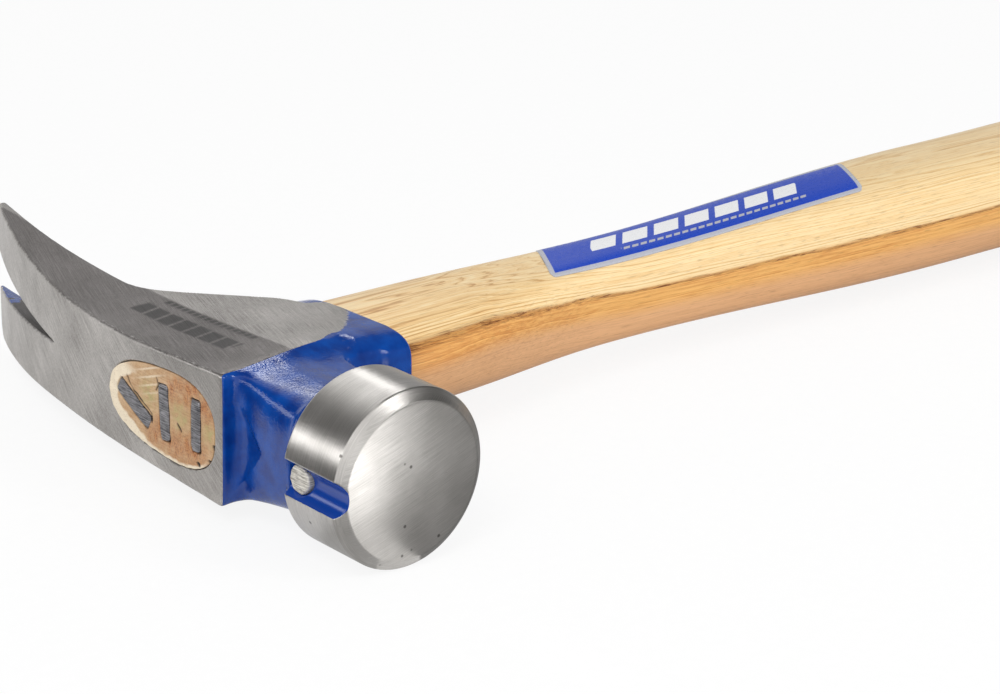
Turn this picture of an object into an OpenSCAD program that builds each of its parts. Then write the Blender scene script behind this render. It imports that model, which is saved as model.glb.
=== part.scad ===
/* [Head] */
// Distance from the centre of the eye to the striking face
face_at = 56.5; // [53:0.5:64]
// Distance from the centre of the eye to the front wall of the head
front_at = 20.1; // [19.8:0.1:23]
// Distance from the centre of the eye to the tip of the claw
tip_at = 95; // [88:0.5:104]
// Width across the cheeks at the front wall
front_w = 26.8; // [26:0.1:29]
// Width across the narrowest place, between the eye and the claw
waist_w = 22.9; // [22:0.1:24]
// Distance from the centre of the eye to the middle of that waist
waist_at = 27.8; // [25:0.1:30]
// Width across the tips of the claw
claw_w = 31.8; // [30:0.1:37]
// Radius of the curve along the top of the claw
top_r = 212; // [185:1:280]
// Depth of the claw where it leaves the eye
claw_t = 18.2; // [16:0.1:19]
// Depth of the tip below the edge where its bevel begins
tip_t = 3.3; // [3:0.1:4.4]
// Length of the bevel on the top side of the tip
tip_bevel = 5; // [3:0.1:6]
// Thickness of the blunt edge of the tip
tip_edge = 0.8; // [0.4:0.1:1.4]
// Radius of the rounded corners of the tip, seen from above
tip_round = 5; // [2:0.1:6]
// Distance from the eye to where the backs of the cheeks would meet the claw
root_at = 33.9; // [31:0.1:37]
// Slope of the backs of the cheeks, in degrees
root_slope = 48; // [42:1:56]
// Radius of the hollow where the cheeks meet the claw
root_r = 14; // [8:0.5:18]

/* [Socket] */
// Depth of the head from the top face to the rim of the socket
skirt_l = 46.3; // [44:0.1:54]
// Length of the rim of the socket
rim_l = 40.8; // [40:0.1:44]
// Width of the rim of the socket
rim_w = 22.6; // [22:0.1:25]
// Distance from the centre of the eye to the centre of the rim
rim_at = 0.9; // [0.4:0.1:1.6]
// Forging draft on the sides of the socket, in degrees
side_draft = 5.4; // [4:0.1:7]
// Forging draft on the front of the socket, in degrees
front_draft = 0.8; // [0.4:0.1:1.5]
// Depth of the cheeks from the top face
cheek_l = 41; // [38:0.2:43]
// Radius of the rounded lower corner of the cheeks
cheek_r = 10; // [5:0.5:12]
// Depth of the ridge that runs along each cheek
ridge_at = 19.4; // [16:0.2:24]
// Lean of the cheek below the ridge, in degrees
ridge_lean = 2.4; // [1:0.1:4]

/* [Poll] */
// Diameter of the poll
poll_d = 34.9; // [33:0.1:37]
// Height of the poll above the top face
poll_rise = 0.95; // [0.5:0.05:1.5]
// Length of the round poll
poll_l = 16.7; // [13:0.1:20]
// Width of the bevel round the striking face, across the radius
bevel_w = 2.1; // [0.8:0.1:3]
// Length of that bevel along the poll
bevel_l = 2; // [1:0.1:4]
// Height of the crown of the striking face
crown_h = 0.5; // [0.1:0.1:0.9]
// Chamfer on the back edge of the poll
poll_chamfer = 0.6; // [0.3:0.1:1.5]
// Width of the neck across the cheeks
neck_w = 22; // [20:0.2:26]
// Depth of the neck
neck_t = 25; // [22:0.2:27]
// Corner chamfer of the neck
neck_chamfer = 3; // [2:0.2:6]
// Width of the flare where the neck meets the front wall
flare_w = 26.6; // [26:0.1:26.8]
// Depth of the flare there
flare_t = 26; // [25:0.2:30]

/* [Claw slot] */
// Length of the nail slot, from its point to the tip of the claw
slot_l = 49.2; // [38:0.1:50]
// Width of the slot at the tip
slot_w = 8.9; // [7:0.1:12]
// Extra width of the slot on the underside of the claw
slot_flare = 3.6; // [0.4:0.1:4]

/* [Nail starter] */
// Radius of the groove along the top of the poll
groove_r = 3.9; // [3.2:0.1:6]
// Depth of the groove
groove_t = 1.7; // [0.8:0.1:2]
// Diameter of the magnet
magnet_d = 5.6; // [4:0.1:6.4]
// Height of the magnet
magnet_h = 4; // [3:0.5:6]
// Distance from the striking face to the centre of the magnet
magnet_at = 13.6; // [10:0.1:13.6]
// Depth of the top of the magnet below the top face
magnet_sink = 0.4; // [0.2:0.1:1]

/* [Handle] */
// Length of the handle, from the top face to the butt
handle_l = 406; // [350:1:460]
// Length of the eye
eye_l = 35.2; // [33:0.1:36]
// Width of the eye, before it narrows towards the claw
eye_w = 17.8; // [15:0.1:18.4]
// Width of the handle at the socket
shoulder_w = 38.4; // [37.8:0.1:38.8]
// Thickness of the handle at the socket
shoulder_t = 20; // [19.2:0.1:21]
// Width of the handle at its waist
throat_w = 22; // [21.4:0.2:24]
// Thickness of the handle at its waist
throat_t = 19.8; // [18:0.2:22]
// Distance from the top face to the waist of the handle
throat_at = 115; // [106:1:124]
// Width of the swell behind the waist
swell_w = 34; // [31:0.2:37]
// Thickness of the swell
swell_t = 26.4; // [23:0.2:27]
// Distance from the top face to the swell
swell_at = 235; // [220:1:250]
// Width of the grip
grip_w = 39.4; // [36:0.2:41]
// Thickness of the grip
grip_t = 26; // [22:0.5:30]
// Distance from the top face to the grip
grip_at = 304; // [285:1:325]
// Width of the knob at the butt
knob_w = 41.5; // [37:0.5:47]
// Thickness of the knob
knob_t = 29; // [26:0.5:33]
// Distance from the butt to the widest place of the knob
knob_at = 18; // [12:1:24]
// Radius of the rounded edge of the butt
butt_r = 6; // [3:0.5:9]

/* [Wedges] */
// Length of the slanting rear wedge
rear_wedge_l = 11.5; // [9:0.1:12]
// Thickness of the rear wedge
rear_wedge_t = 3.4; // [2.4:0.1:3.6]
// Slant of the rear wedge, in degrees
rear_wedge_slant = 27.6; // [20:0.2:34]
// Length of the middle wedge
middle_wedge_l = 11.3; // [9:0.1:12.6]
// Thickness of the middle wedge
middle_wedge_t = 3.1; // [2.4:0.1:3.6]
// Length of the front wedge
front_wedge_l = 10.6; // [8:0.1:11]
// Thickness of the front wedge
front_wedge_t = 2.9; // [2:0.1:3.1]
// Thickness of every wedge at its thin end
wedge_edge = 0.8; // [0.4:0.1:1.4]
// Depth to which the wedges are driven
wedge_l = 24; // [18:1:30]

/* [Label] */
// Length of the label along the handle
label_l = 100; // [60:1:104]
// Width of the label
label_w = 18.2; // [12:0.1:18.4]
// Distance from the top face to the front corner of the label
label_at = 96.4; // [90:0.2:102]
// Thickness of the label
label_t = 0.15; // [0.1:0.05:0.4]

/* [Hidden] */

// Overrun of every cut past the face that it opens
over = 1;
// Clearance between the tang and the eye, and between a wedge and its kerf
fit_gap = 0.1;
// Clearance round the magnet in its pocket
magnet_gap = 0.3;
// Clearance between the label and the wood
label_gap = 0.05;

// Place where the flat of the top face turns into the curve of the claw
flat_end = 1;
// Number of steps along the nail slot
slot_steps = 12;
// Length of the straight waist of the head
waist_l = 11;
// Length of the straight underside of the claw behind the waist, and the place where it begins to curve
straight_l = 20;
under_at = waist_at + waist_l / 2 + straight_l;
// Axis of the poll and the neck, below the top face
axis_x = poll_d / 2 - poll_rise;
// Exponent of the front half of the socket's oval, its gain at the top face, and that of the back half
socket_square = 6.2;
socket_square_top = 6;
socket_square_back = 2.4;
// Depth over which the socket turns from square to oval
square_l = 14;
// Exponent of the oval of the eye, and its narrowing towards the claw
eye_square = 2.5;
eye_egg = 0.15;
// Exponent of the oval of the handle, and of its oval at the socket
grip_square = 2.9;
shoulder_square = 2.4;
// Exponent of the flat-sided oval of the waist
throat_square = 4;
// Taper of the cheeks between the front wall and the waist, in degrees
cheek_taper = atan((front_w - waist_w) / 2 / (waist_at - waist_l / 2 + front_at));
// Places of the wedges along the eye and across it, as shares of its half length and half width
rear_wedge_share = [0.52, -0.12];
middle_wedge_share = [-0.06, 0];
front_wedge_share = [-0.65, 0.06];
// Slant of the middle wedge, in degrees
middle_wedge_slant = 86;
// Offset of the middle of the handle from the eye, at the socket, waist, swell, grip and knob
shoulder_y = 1.6;
throat_y = 3.3;
swell_y = 4.5;
grip_y = 4.8;
knob_y = -1;
// Places along the handle: distance, half width, half thickness, offset, exponent
stations = [
    [skirt_l, shoulder_w / 2, shoulder_t / 2, shoulder_y, shoulder_square],
    [throat_at, throat_w / 2, throat_t / 2, throat_y, throat_square],
    [swell_at, swell_w / 2, swell_t / 2, swell_y, grip_square],
    [grip_at, grip_w / 2, grip_t / 2, grip_y, grip_square],
    [handle_l - knob_at, knob_w / 2, knob_t / 2, knob_y, grip_square],
    [handle_l, knob_w / 2, knob_t / 2, knob_y, grip_square]
];
// Number of rings along the handle between two stations, and of points round it
station_rings = 12;
round_points = 48;
socket_points = 64;
// Depths of the rings of the socket, as shares of its depth
socket_shares = [0, 0.05, 0.11, 0.18, 0.26, 0.4, 0.55, 0.7, 0.85, 1];
// Number of steps along a curve of an outline, and round a corner of one
curve_steps = 16;
corner_steps = 6;
// Slope of the label across the handle, as its rise over its length
label_slope = 0.001;
// Offset of the front corner of the label from the eye, and how far its ends are slanted
label_y = -5.1;
label_skew = 11.5;
// Number of steps along the label and across it
label_steps = 30;
label_bands = 20;

function power_of(v, n) = sign(v) * pow(abs(v), 2 / n);

// Oval with half sizes a and b: a circle at n = 2, and squarer the larger n is
function oval(a, b, n, points, egg = 0, back_n = 0) = [
    for (i = [0 : points - 1])
        let (t = 360 * (i + 0.5) / points, m = back_n > 0 && cos(t) > 0 ? back_n : n)
        let (u = power_of(cos(t), m))
        [a * u, b * (1 - egg * u) * power_of(sin(t), m)]
];

// Round stretch of radius r in place of the corner c between the points a and b
function round_corner(a, c, b, r) =
    let (u = (a - c) / norm(a - c), v = (b - c) / norm(b - c), half = acos(u * v) / 2)
    let (middle = c + (u + v) / norm(u + v) * r / sin(half))
    let (from = c + u * r / tan(half) - middle, to = c + v * r / tan(half) - middle)
    [for (i = [0 : corner_steps])
        let (t = i / corner_steps * (180 - 2 * half))
        middle + (from * sin(180 - 2 * half - t) + to * sin(t)) / sin(2 * half)];

// Smooth step from 0 to 1
function ease(t) = (1 - cos(180 * t)) / 2;
function mix(a, b, t) = a * (1 - t) + b * t;

// Width, thickness and offset of the handle at a distance x from the top face
function station_of(x, i = 0) =
    i >= len(stations) - 2 || x < stations[i + 1][0] ? i : station_of(x, i + 1);
function handle_at(x) =
    let (i = station_of(x), p = stations[i], q = stations[i + 1])
    let (t = ease(min(1, max(0, (x - p[0]) / (q[0] - p[0])))))
    [x, for (k = [1 : len(p) - 1]) mix(p[k], q[k], t)];

// Ring of the handle for one section
function handle_ring(s) = [
    for (p = oval(s[1], s[2], s[4], round_points)) [s[0], s[3] + p[0], p[1]]
];

// Point on the handle at distance x and offset y, lifted by h towards +Z
function on_handle(x, y, h) =
    let (s = handle_at(x), u = min(0.97, abs(y - s[3]) / s[1]))
    [x, y, s[2] * pow(1 - pow(u, s[4]), 1 / s[4]) + h];

// Solid through rings that all have the same number of points
module loft(rings) {
    n = len(rings[0]);
    m = len(rings);
    polyhedron(
        points = [for (r = rings) each r],
        faces = [
            [for (i = [0 : n - 1]) i],
            [for (i = [n - 1 : -1 : 0]) (m - 1) * n + i],
            for (j = [0 : m - 2], i = [0 : n - 1])
                let (k = (i + 1) % n, a = j * n, b = a + n)
                each [[a + i, b + i, b + k], [a + i, b + k, a + k]]
        ],
        convexity = 4
    );
}

// Extrusion along +X of an outline whose points are [z, y]
module along_x(from, to) {
    translate([from, 0, 0])
        rotate([0, 90, 0])
            linear_extrude(height = to - from)
                children();
}

// Depth of the top of the claw below the top face, at a distance y from the eye
function top_x(y) = y <= flat_end ? 0 : top_r - sqrt(pow(top_r, 2) - pow(y - flat_end, 2));

// Depth of the underside of the claw: straight at first, then a parabola to the tip
function under_x(y) =
    let (t = max(0, (y - under_at) / (tip_at - under_at)))
    claw_t + (top_x(tip_at - tip_bevel) + tip_t - claw_t) * pow(t, 2);

// Top line of the head behind the eye, from the top face towards the tip
function top_line(end_y) = concat(
    [[0, flat_end]],
    [for (i = [1 : curve_steps]) let (y = mix(flat_end, end_y, i / curve_steps)) [top_x(y), y]]
);

// Side view of the claw and of the cheeks, from the middle of the eye to the tip
function claw_side() =
    let (tip_x = under_x(tip_at))
    let (low_y = root_at - (cheek_l - claw_t) / tan(root_slope))
    let (root = [claw_t, root_at], low = [cheek_l, low_y])
    concat(
        [[0, 0]],
        top_line(tip_at - tip_bevel),
        [[tip_x - tip_edge, tip_at]],
        [for (i = [curve_steps : -1 : 0]) let (y = mix(under_at, tip_at, i / curve_steps)) [under_x(y), y]],
        round_corner([claw_t, under_at], root, low, root_r),
        round_corner(root, low, [cheek_l, 0], cheek_r),
        [[cheek_l, 0]]
    );

// Plan view of the ground cheeks, as half widths at distances from the eye
function cheek_plan() =
    let (corner_y = tip_at - tip_round, corner_z = claw_w / 2 - tip_round)
    let (waist_back = waist_at + waist_l / 2, waist_front = waist_at - waist_l / 2)
    concat(
        [[front_w / 2, -front_at], [waist_w / 2, waist_front], [waist_w / 2, waist_back]],
        [for (a = [0 : 15 : 90]) [corner_z + tip_round * cos(a), corner_y + tip_round * sin(a)]]
    );

// Space that the grinding of the two cheeks leaves
module ground_stock() {
    half = cheek_plan();
    last = len(half) - 1;
    difference() {
        along_x(-over, skirt_l + over)
            polygon(concat(half, [for (i = [last : -1 : 0]) [-half[i][0], half[i][1]]]));
        for (side = [0, 1])
            mirror([0, 0, side])
                translate([ridge_at, -front_at, front_w / 2])
                    rotate([-cheek_taper, ridge_lean, 0])
                        translate([-over, -over, 0])
                            cube([skirt_l, front_at + waist_at + root_r, front_w]);
    }
}

// Forged socket: square at the top face, an oval with draft towards the rim
module socket_form() {
    loft([
        for (share = socket_shares)
            let (x = share * skirt_l, rise = skirt_l - x)
            let (a = rim_l / 2 + rise * tan(front_draft), b = rim_w / 2 + rise * tan(side_draft))
            let (n = socket_square + socket_square_top * pow(max(0, 1 - x / square_l), 2))
            [for (p = oval(a, b, n, socket_points, 0, socket_square_back)) [x, rim_at + p[0], p[1]]]
    ]);
}

// Block with chamfered corners round the axis of the poll, as points [x, z]
module neck_block(w, t, c, from, to) {
    translate([axis_x, -from, 0])
        rotate([90, 0, 0])
            linear_extrude(height = to - from)
                polygon([
                    [-t / 2, c - w / 2], [c - t / 2, -w / 2], [t / 2 - c, -w / 2], [t / 2, c - w / 2],
                    [t / 2, w / 2 - c], [t / 2 - c, w / 2], [c - t / 2, w / 2], [-t / 2, w / 2 - c]
                ]);
}

// Neck between the front wall and the poll, which narrows to a chamfered block at the poll
module neck_form() {
    hull() {
        neck_block(flare_w, flare_t, poll_chamfer, front_at - over, front_at);
        neck_block(neck_w, neck_t, neck_chamfer, face_at - poll_l, face_at - poll_l + over);
    }
}

// Round poll with its bevel and its crowned face
module poll_form() {
    r = poll_d / 2;
    face_r = r - bevel_w;
    crown_y = poll_l - crown_h;
    translate([axis_x, -face_at + poll_l, 0])
        rotate([90, 0, 0])
            rotate_extrude()
                polygon(concat(
                    [[0, 0], [r - poll_chamfer, 0], [r, poll_chamfer], [r, poll_l - bevel_l]],
                    [for (i = [corner_steps : -1 : 0])
                        let (share = i / corner_steps)
                        [face_r * share, crown_y + crown_h * (1 - pow(share, 2))]]
                ));
}

// Cut of the nail slot, which follows the claw and is wider on its underside
module slot_cut() {
    loft([
        for (i = [0 : slot_steps])
            let (y = tip_at - slot_l + (slot_l + over) * i / slot_steps, w = slot_w / 2 * i / slot_steps)
            let (low_w = w + slot_flare / 2 * ease(min(1, 2 * i / slot_steps)))
            let (top = top_x(y) - over, low = under_x(y) + over)
            [[top, y, w], [low, y, low_w], [low, y, -low_w], [top, y, -w]]
    ]);
}

// Eye of the head, or the tang when the outline is drawn in by a gap
module eye_prism(from, to, gap) {
    along_x(from, to)
        polygon([
            for (p = oval(eye_l / 2 - gap, eye_w / 2 - gap, eye_square, round_points, eye_egg)) [p[1], p[0]]
        ]);
}

module head() {
    color([0.55, 0.55, 0.56])
        difference() {
            union() {
                intersection() {
                    linear_extrude(height = claw_w + over, center = true)
                        polygon(claw_side());
                    ground_stock();
                }
                intersection() {
                    socket_form();
                    ground_stock();
                    linear_extrude(height = claw_w + over, center = true)
                        polygon(concat(
                            [[skirt_l + over, -face_at], [0, -face_at]],
                            top_line(tip_at),
                            [[skirt_l + over, tip_at]]
                        ));
                }
                neck_form();
                poll_form();
            }
            eye_prism(-over, skirt_l + over, 0);
            slot_cut();
            translate([groove_t - groove_r, -face_at + poll_l + over, 0])
                rotate([90, 0, 0])
                    cylinder(r = groove_r, h = poll_l + over * 2, $fn = 96);
            translate([-over, -face_at + magnet_at, 0])
                rotate([0, 90, 0])
                    cylinder(d = magnet_d + magnet_gap * 2, h = over + magnet_sink + magnet_h, $fn = 96);
        }
}

// Wedge driven into the tang, or its kerf when a gap is added
module wedge_form(l, t, place, slant, gap) {
    translate([0, place[0] * eye_l / 2, place[1] * eye_w / 2])
        rotate([slant - 90, 0, 0])
            translate([0, 0, -l / 2 - gap])
                linear_extrude(height = l + gap * 2)
                    polygon([
                        [gap > 0 ? -over : 0, -t / 2 - gap],
                        [gap > 0 ? -over : 0, t / 2 + gap],
                        [wedge_l + gap, wedge_edge / 2 + gap],
                        [wedge_l + gap, -wedge_edge / 2 - gap]
                    ]);
}

module rear_wedge_form(gap) {
    wedge_form(rear_wedge_l, rear_wedge_t, rear_wedge_share, rear_wedge_slant, gap);
}

module middle_wedge_form(gap) {
    wedge_form(middle_wedge_l, middle_wedge_t, middle_wedge_share, middle_wedge_slant, gap);
}

module front_wedge_form(gap) {
    wedge_form(front_wedge_l, front_wedge_t, front_wedge_share, 90, gap);
}

module handle() {
    last = len(stations) - 1;
    end_x = handle_l - butt_r;
    end = handle_at(end_x);
    color([0.80, 0.62, 0.38])
        difference() {
            union() {
                eye_prism(0, skirt_l + over, fit_gap);
                loft(concat(
                    [for (i = [0 : last - 2], j = [0 : station_rings - 1])
                        let (x = mix(stations[i][0], stations[i + 1][0], j / station_rings))
                        handle_ring(handle_at(x))],
                    [handle_ring(handle_at(stations[last - 1][0]))],
                    [for (a = [0 : 18 : 90])
                        let (x = end_x + butt_r * sin(a), in = butt_r * (1 - cos(a)))
                        handle_ring([x, end[1] - in, end[2] - in, end[3], end[4]])]
                ));
            }
            rear_wedge_form(fit_gap);
            middle_wedge_form(fit_gap);
            front_wedge_form(fit_gap);
        }
}

module wedge_rear() {
    color([0.38, 0.38, 0.40]) rear_wedge_form(0);
}

module wedge_middle() {
    color([0.38, 0.38, 0.40]) middle_wedge_form(0);
}

module wedge_front() {
    color([0.38, 0.38, 0.40]) front_wedge_form(0);
}

module magnet() {
    color([0.72, 0.70, 0.64])
        translate([magnet_sink, -face_at + magnet_at, 0])
            rotate([0, 90, 0])
                cylinder(d = magnet_d, h = magnet_h, $fn = 96);
}

// Foil label that follows the upper side of the handle
module label() {
    function label_ring(t) = [
        for (lift = [label_gap, label_gap + label_t])
            let (order = lift == label_gap ? [0 : label_bands] : [label_bands : -1 : 0])
            each [for (i = order)
                let (s = i / label_bands)
                let (x = label_at + t * label_l + s * label_skew)
                on_handle(x, label_y + s * label_w + t * label_l * label_slope, lift)]
    ];
    color([0.13, 0.26, 0.62])
        loft([for (i = [0 : label_steps]) label_ring(i / label_steps)]);
}

head();
handle();
wedge_rear();
wedge_middle();
wedge_front();
magnet();
label();
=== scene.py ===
"""Looks of a framing hammer: forged and ground steel head, hickory handle, wedges, magnet and label.

Shapes are worked out in millimetres in the frame of the CAD part and go into the meshes in metres:
X runs down the handle towards its butt, -Y is the striking direction, +Y the claw, Z the cheeks.
"""

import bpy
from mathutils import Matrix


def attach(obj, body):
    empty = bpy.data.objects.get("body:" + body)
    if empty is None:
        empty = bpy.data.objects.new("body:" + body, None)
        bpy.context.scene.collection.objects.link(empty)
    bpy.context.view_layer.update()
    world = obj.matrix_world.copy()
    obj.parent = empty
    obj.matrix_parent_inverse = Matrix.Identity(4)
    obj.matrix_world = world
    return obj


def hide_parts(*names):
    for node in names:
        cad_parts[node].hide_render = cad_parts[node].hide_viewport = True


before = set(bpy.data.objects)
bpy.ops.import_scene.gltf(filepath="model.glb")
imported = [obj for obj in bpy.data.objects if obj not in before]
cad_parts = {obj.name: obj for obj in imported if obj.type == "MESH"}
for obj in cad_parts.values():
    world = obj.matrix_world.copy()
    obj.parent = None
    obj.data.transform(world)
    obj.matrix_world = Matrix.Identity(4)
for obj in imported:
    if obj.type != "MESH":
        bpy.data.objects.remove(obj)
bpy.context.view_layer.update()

import logging
import math
from collections.abc import Callable, Mapping
from dataclasses import dataclass
from enum import Enum

import bpy
import numpy as np
from mathutils import Matrix

MM = 0.001
BODY = "root"
Array = np.ndarray
Field = Callable[[Array, Array, Array], Array]
Place = tuple[float, float, float]
LOG = logging.getLogger("framing_hammer")


def linear(colour: str) -> tuple[float, float, float, float]:
    """Turns an sRGB hex colour into linear light.

    Args:
        colour: sRGB colour such as "#1f4fb5".

    Returns:
        Linear red, green and blue, and an alpha of 1.
    """
    parts = [int(colour[i : i + 2], 16) / 255 for i in (1, 3, 5)]
    light = [c / 12.92 if c <= 0.04045 else ((c + 0.055) / 1.055) ** 2.4 for c in parts]
    return (*light, 1.0)


def ease(share: Array) -> Array:
    """Cosine step: rises smoothly from 0 at share 0 to 1 at share 1 and is level outside."""
    return (1 - np.cos(np.pi * np.clip(share, 0, 1))) / 2


def smooth_max(a: Array | float, b: Array | float, width: float) -> Array:
    """Larger of a and b, rounded where they differ by less than width: max + h^2 / (4 width)."""
    near = np.maximum(width - np.abs(a - b), 0)
    return np.maximum(a, b) + near**2 / (4 * width)


def smooth_min(a: Array | float, b: Array | float, width: float) -> Array:
    """Smaller of a and b, rounded in the same way."""
    return -smooth_max(-a, -b, width)


def bent(wave: Array, power: Array | float) -> Array:
    """Cosine or sine bent for an oval: its size raised to a power, with its sign kept."""
    return np.sign(wave) * np.abs(wave) ** power


def angles(count: int) -> Array:
    """Even angles round a circle, half a step away from 0."""
    return (np.arange(count) + 0.5) * 2 * np.pi / count


def wave_noise(points: Array, size: float, seed: int, waves: int = 24) -> Array:
    """Smooth seeded noise between about -1 and 1: a sum of plane waves in random directions.

    Args:
        points: Places in mm, with 2 or 3 numbers in the last axis.
        size: Typical width of a bump in mm.
        seed: Number that fixes the pattern.
        waves: Number of waves.

    Returns:
        One value for each place.
    """
    random = np.random.default_rng(seed)
    directions = random.normal(size=(waves, points.shape[-1]))
    directions /= np.linalg.norm(directions, axis=1, keepdims=True)
    directions *= random.uniform(0.6, 1.6, (waves, 1)) * np.pi / size
    phases = random.uniform(0, 2 * np.pi, waves)
    total = sum(np.sin(points @ d + p) for d, p in zip(directions, phases))
    return total * math.sqrt(2 / waves) / 2


def oval_distance(u: Array, v: Array, a: Array | float, b: Array | float, power: Array | float) -> Array:
    """Signed distance, to first order, from the oval |u/a|^n + |v/b|^n = 1.

    The radius s of the point in units of the oval is worked out, and s - 1 is divided by the
    slope of s, so the value is in mm next to the oval, and negative inside.

    Args:
        u: First coordinate.
        v: Second coordinate.
        a: Half size along u.
        b: Half size along v.
        power: Exponent n: 2 is an ellipse, more is squarer.

    Returns:
        The signed distance.
    """
    p = np.maximum(np.abs(u) / a, 1e-4)
    q = np.maximum(np.abs(v) / b, 1e-4)
    s = np.maximum((p**power + q**power) ** (1 / power), 0.02)
    slope = np.hypot((p / s) ** (power - 1) / a, (q / s) ** (power - 1) / b)
    return (s - 1) / slope


def path_distance(y: Array, z: Array, path: tuple[tuple[float, float], ...]) -> Array:
    """Distance from the points (y, z) to the nearest stretch of a path.

    Args:
        y: First coordinates.
        z: Second coordinates.
        path: Corners of the path.

    Returns:
        The distances.
    """
    nearest = np.full_like(y, np.inf)
    for (y0, z0), (y1, z1) in zip(path[:-1], path[1:]):
        dy, dz = y1 - y0, z1 - z0
        t = np.clip(((y - y0) * dy + (z - z0) * dz) / (dy * dy + dz * dz), 0, 1)
        nearest = np.minimum(nearest, np.hypot(y - y0 - t * dy, z - z0 - t * dz))
    return nearest


@dataclass
class Shell:
    """A surface on its way to a mesh: points in mm, faces of four corners, and what they carry."""

    points: Array
    faces: Array
    normals: Array | None = None
    values: Mapping[str, Array] | None = None

    def turned_out(self) -> "Shell":
        """Turns the faces round if the volume that they enclose comes out negative.

        Returns:
            The shell itself.
        """
        corners = self.points[self.faces]
        first = np.einsum("ij,ij->i", corners[:, 0], np.cross(corners[:, 1], corners[:, 2]))
        second = np.einsum("ij,ij->i", corners[:, 0], np.cross(corners[:, 2], corners[:, 3]))
        if (first + second).sum() < 0:
            self.faces = self.faces[:, ::-1]
        return self

    def mesh(self, name: str) -> bpy.types.Mesh:
        """Puts the surface into a new mesh, in metres.

        Args:
            name: Name of the mesh.

        Returns:
            The mesh, with smooth faces.
        """
        mesh = bpy.data.meshes.new(name)
        corners, starts = self._corners()
        mesh.vertices.add(len(self.points))
        mesh.vertices.foreach_set("co", (self.points * MM).astype(np.float32).ravel())
        mesh.loops.add(len(corners))
        mesh.loops.foreach_set("vertex_index", corners)
        mesh.polygons.add(len(starts))
        mesh.polygons.foreach_set("loop_start", starts)
        mesh.polygons.foreach_set("use_smooth", np.ones(len(starts), bool))
        for key, value in (self.values or {}).items():
            kind, field = ("FLOAT_VECTOR", "vector") if value.ndim == 2 else ("FLOAT", "value")
            attribute = mesh.attributes.new(key, kind, "POINT")
            attribute.data.foreach_set(field, value.astype(np.float32).ravel())
        mesh.update(calc_edges=True)
        if self.normals is not None:
            mesh.normals_split_custom_set_from_vertices(self.normals.tolist())
        return mesh

    def _corners(self) -> tuple[Array, Array]:
        """Lists the corners, where a face with a repeated corner is a triangle.

        Returns:
            The corners of all faces in a row, and the place of each face's first corner.
        """
        keep = self.faces != np.roll(self.faces, -1, axis=1)
        counts = keep.sum(axis=1)
        whole = counts >= 3
        corners = self.faces[whole][keep[whole]]
        starts = np.concatenate([[0], np.cumsum(counts[whole])[:-1]])
        return corners.astype(np.int32), starts.astype(np.int32)


def ring_faces(rows: int, columns: int) -> Array:
    """Faces between the rows of a grid whose columns close on themselves.

    Args:
        rows: Number of rows.
        columns: Number of points in each row.

    Returns:
        Four corners for each face.
    """
    i, j = np.meshgrid(np.arange(rows - 1), np.arange(columns), indexing="ij")
    here, beside = i * columns + j, i * columns + (j + 1) % columns
    return np.stack([here, here + columns, beside + columns, beside], -1).reshape(-1, 4)


def ring_shell(rings: Array, values: Mapping[str, Array] | None = None) -> Shell:
    """Closes a grid of rings, whose first and last rings have shrunk to a pole each, into a shell.

    Args:
        rings: Points in mm: ring, place round the ring, coordinate.
        values: Values that go with the points, in the same grid.

    Returns:
        The shell, in which all points of a pole are one.
    """
    rows, columns = rings.shape[:2]
    count = rows * columns
    index = np.arange(count).reshape(rows, columns)
    index[0] = 0
    index[-1] = index[-1, 0]
    used, renamed = np.unique(index, return_inverse=True)
    faces = renamed.reshape(-1)[ring_faces(rows, columns)]
    flat = {key: value.reshape(count, *value.shape[2:])[used] for key, value in (values or {}).items()}
    return Shell(rings.reshape(-1, 3)[used], faces, values=flat).turned_out()


def sheet_shell(grid: Array, values: Mapping[str, Array] | None = None) -> Shell:
    """Open surface through a grid of points.

    Args:
        grid: Points in mm: row, column, coordinate.
        values: Values that go with the points, one after the other.

    Returns:
        The surface.
    """
    rows, columns = grid.shape[:2]
    i, j = np.meshgrid(np.arange(rows - 1), np.arange(columns - 1), indexing="ij")
    first = (i * columns + j).ravel()
    faces = np.stack([first, first + columns, first + columns + 1, first + 1], -1)
    return Shell(grid.reshape(-1, 3), faces, values=values)


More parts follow.
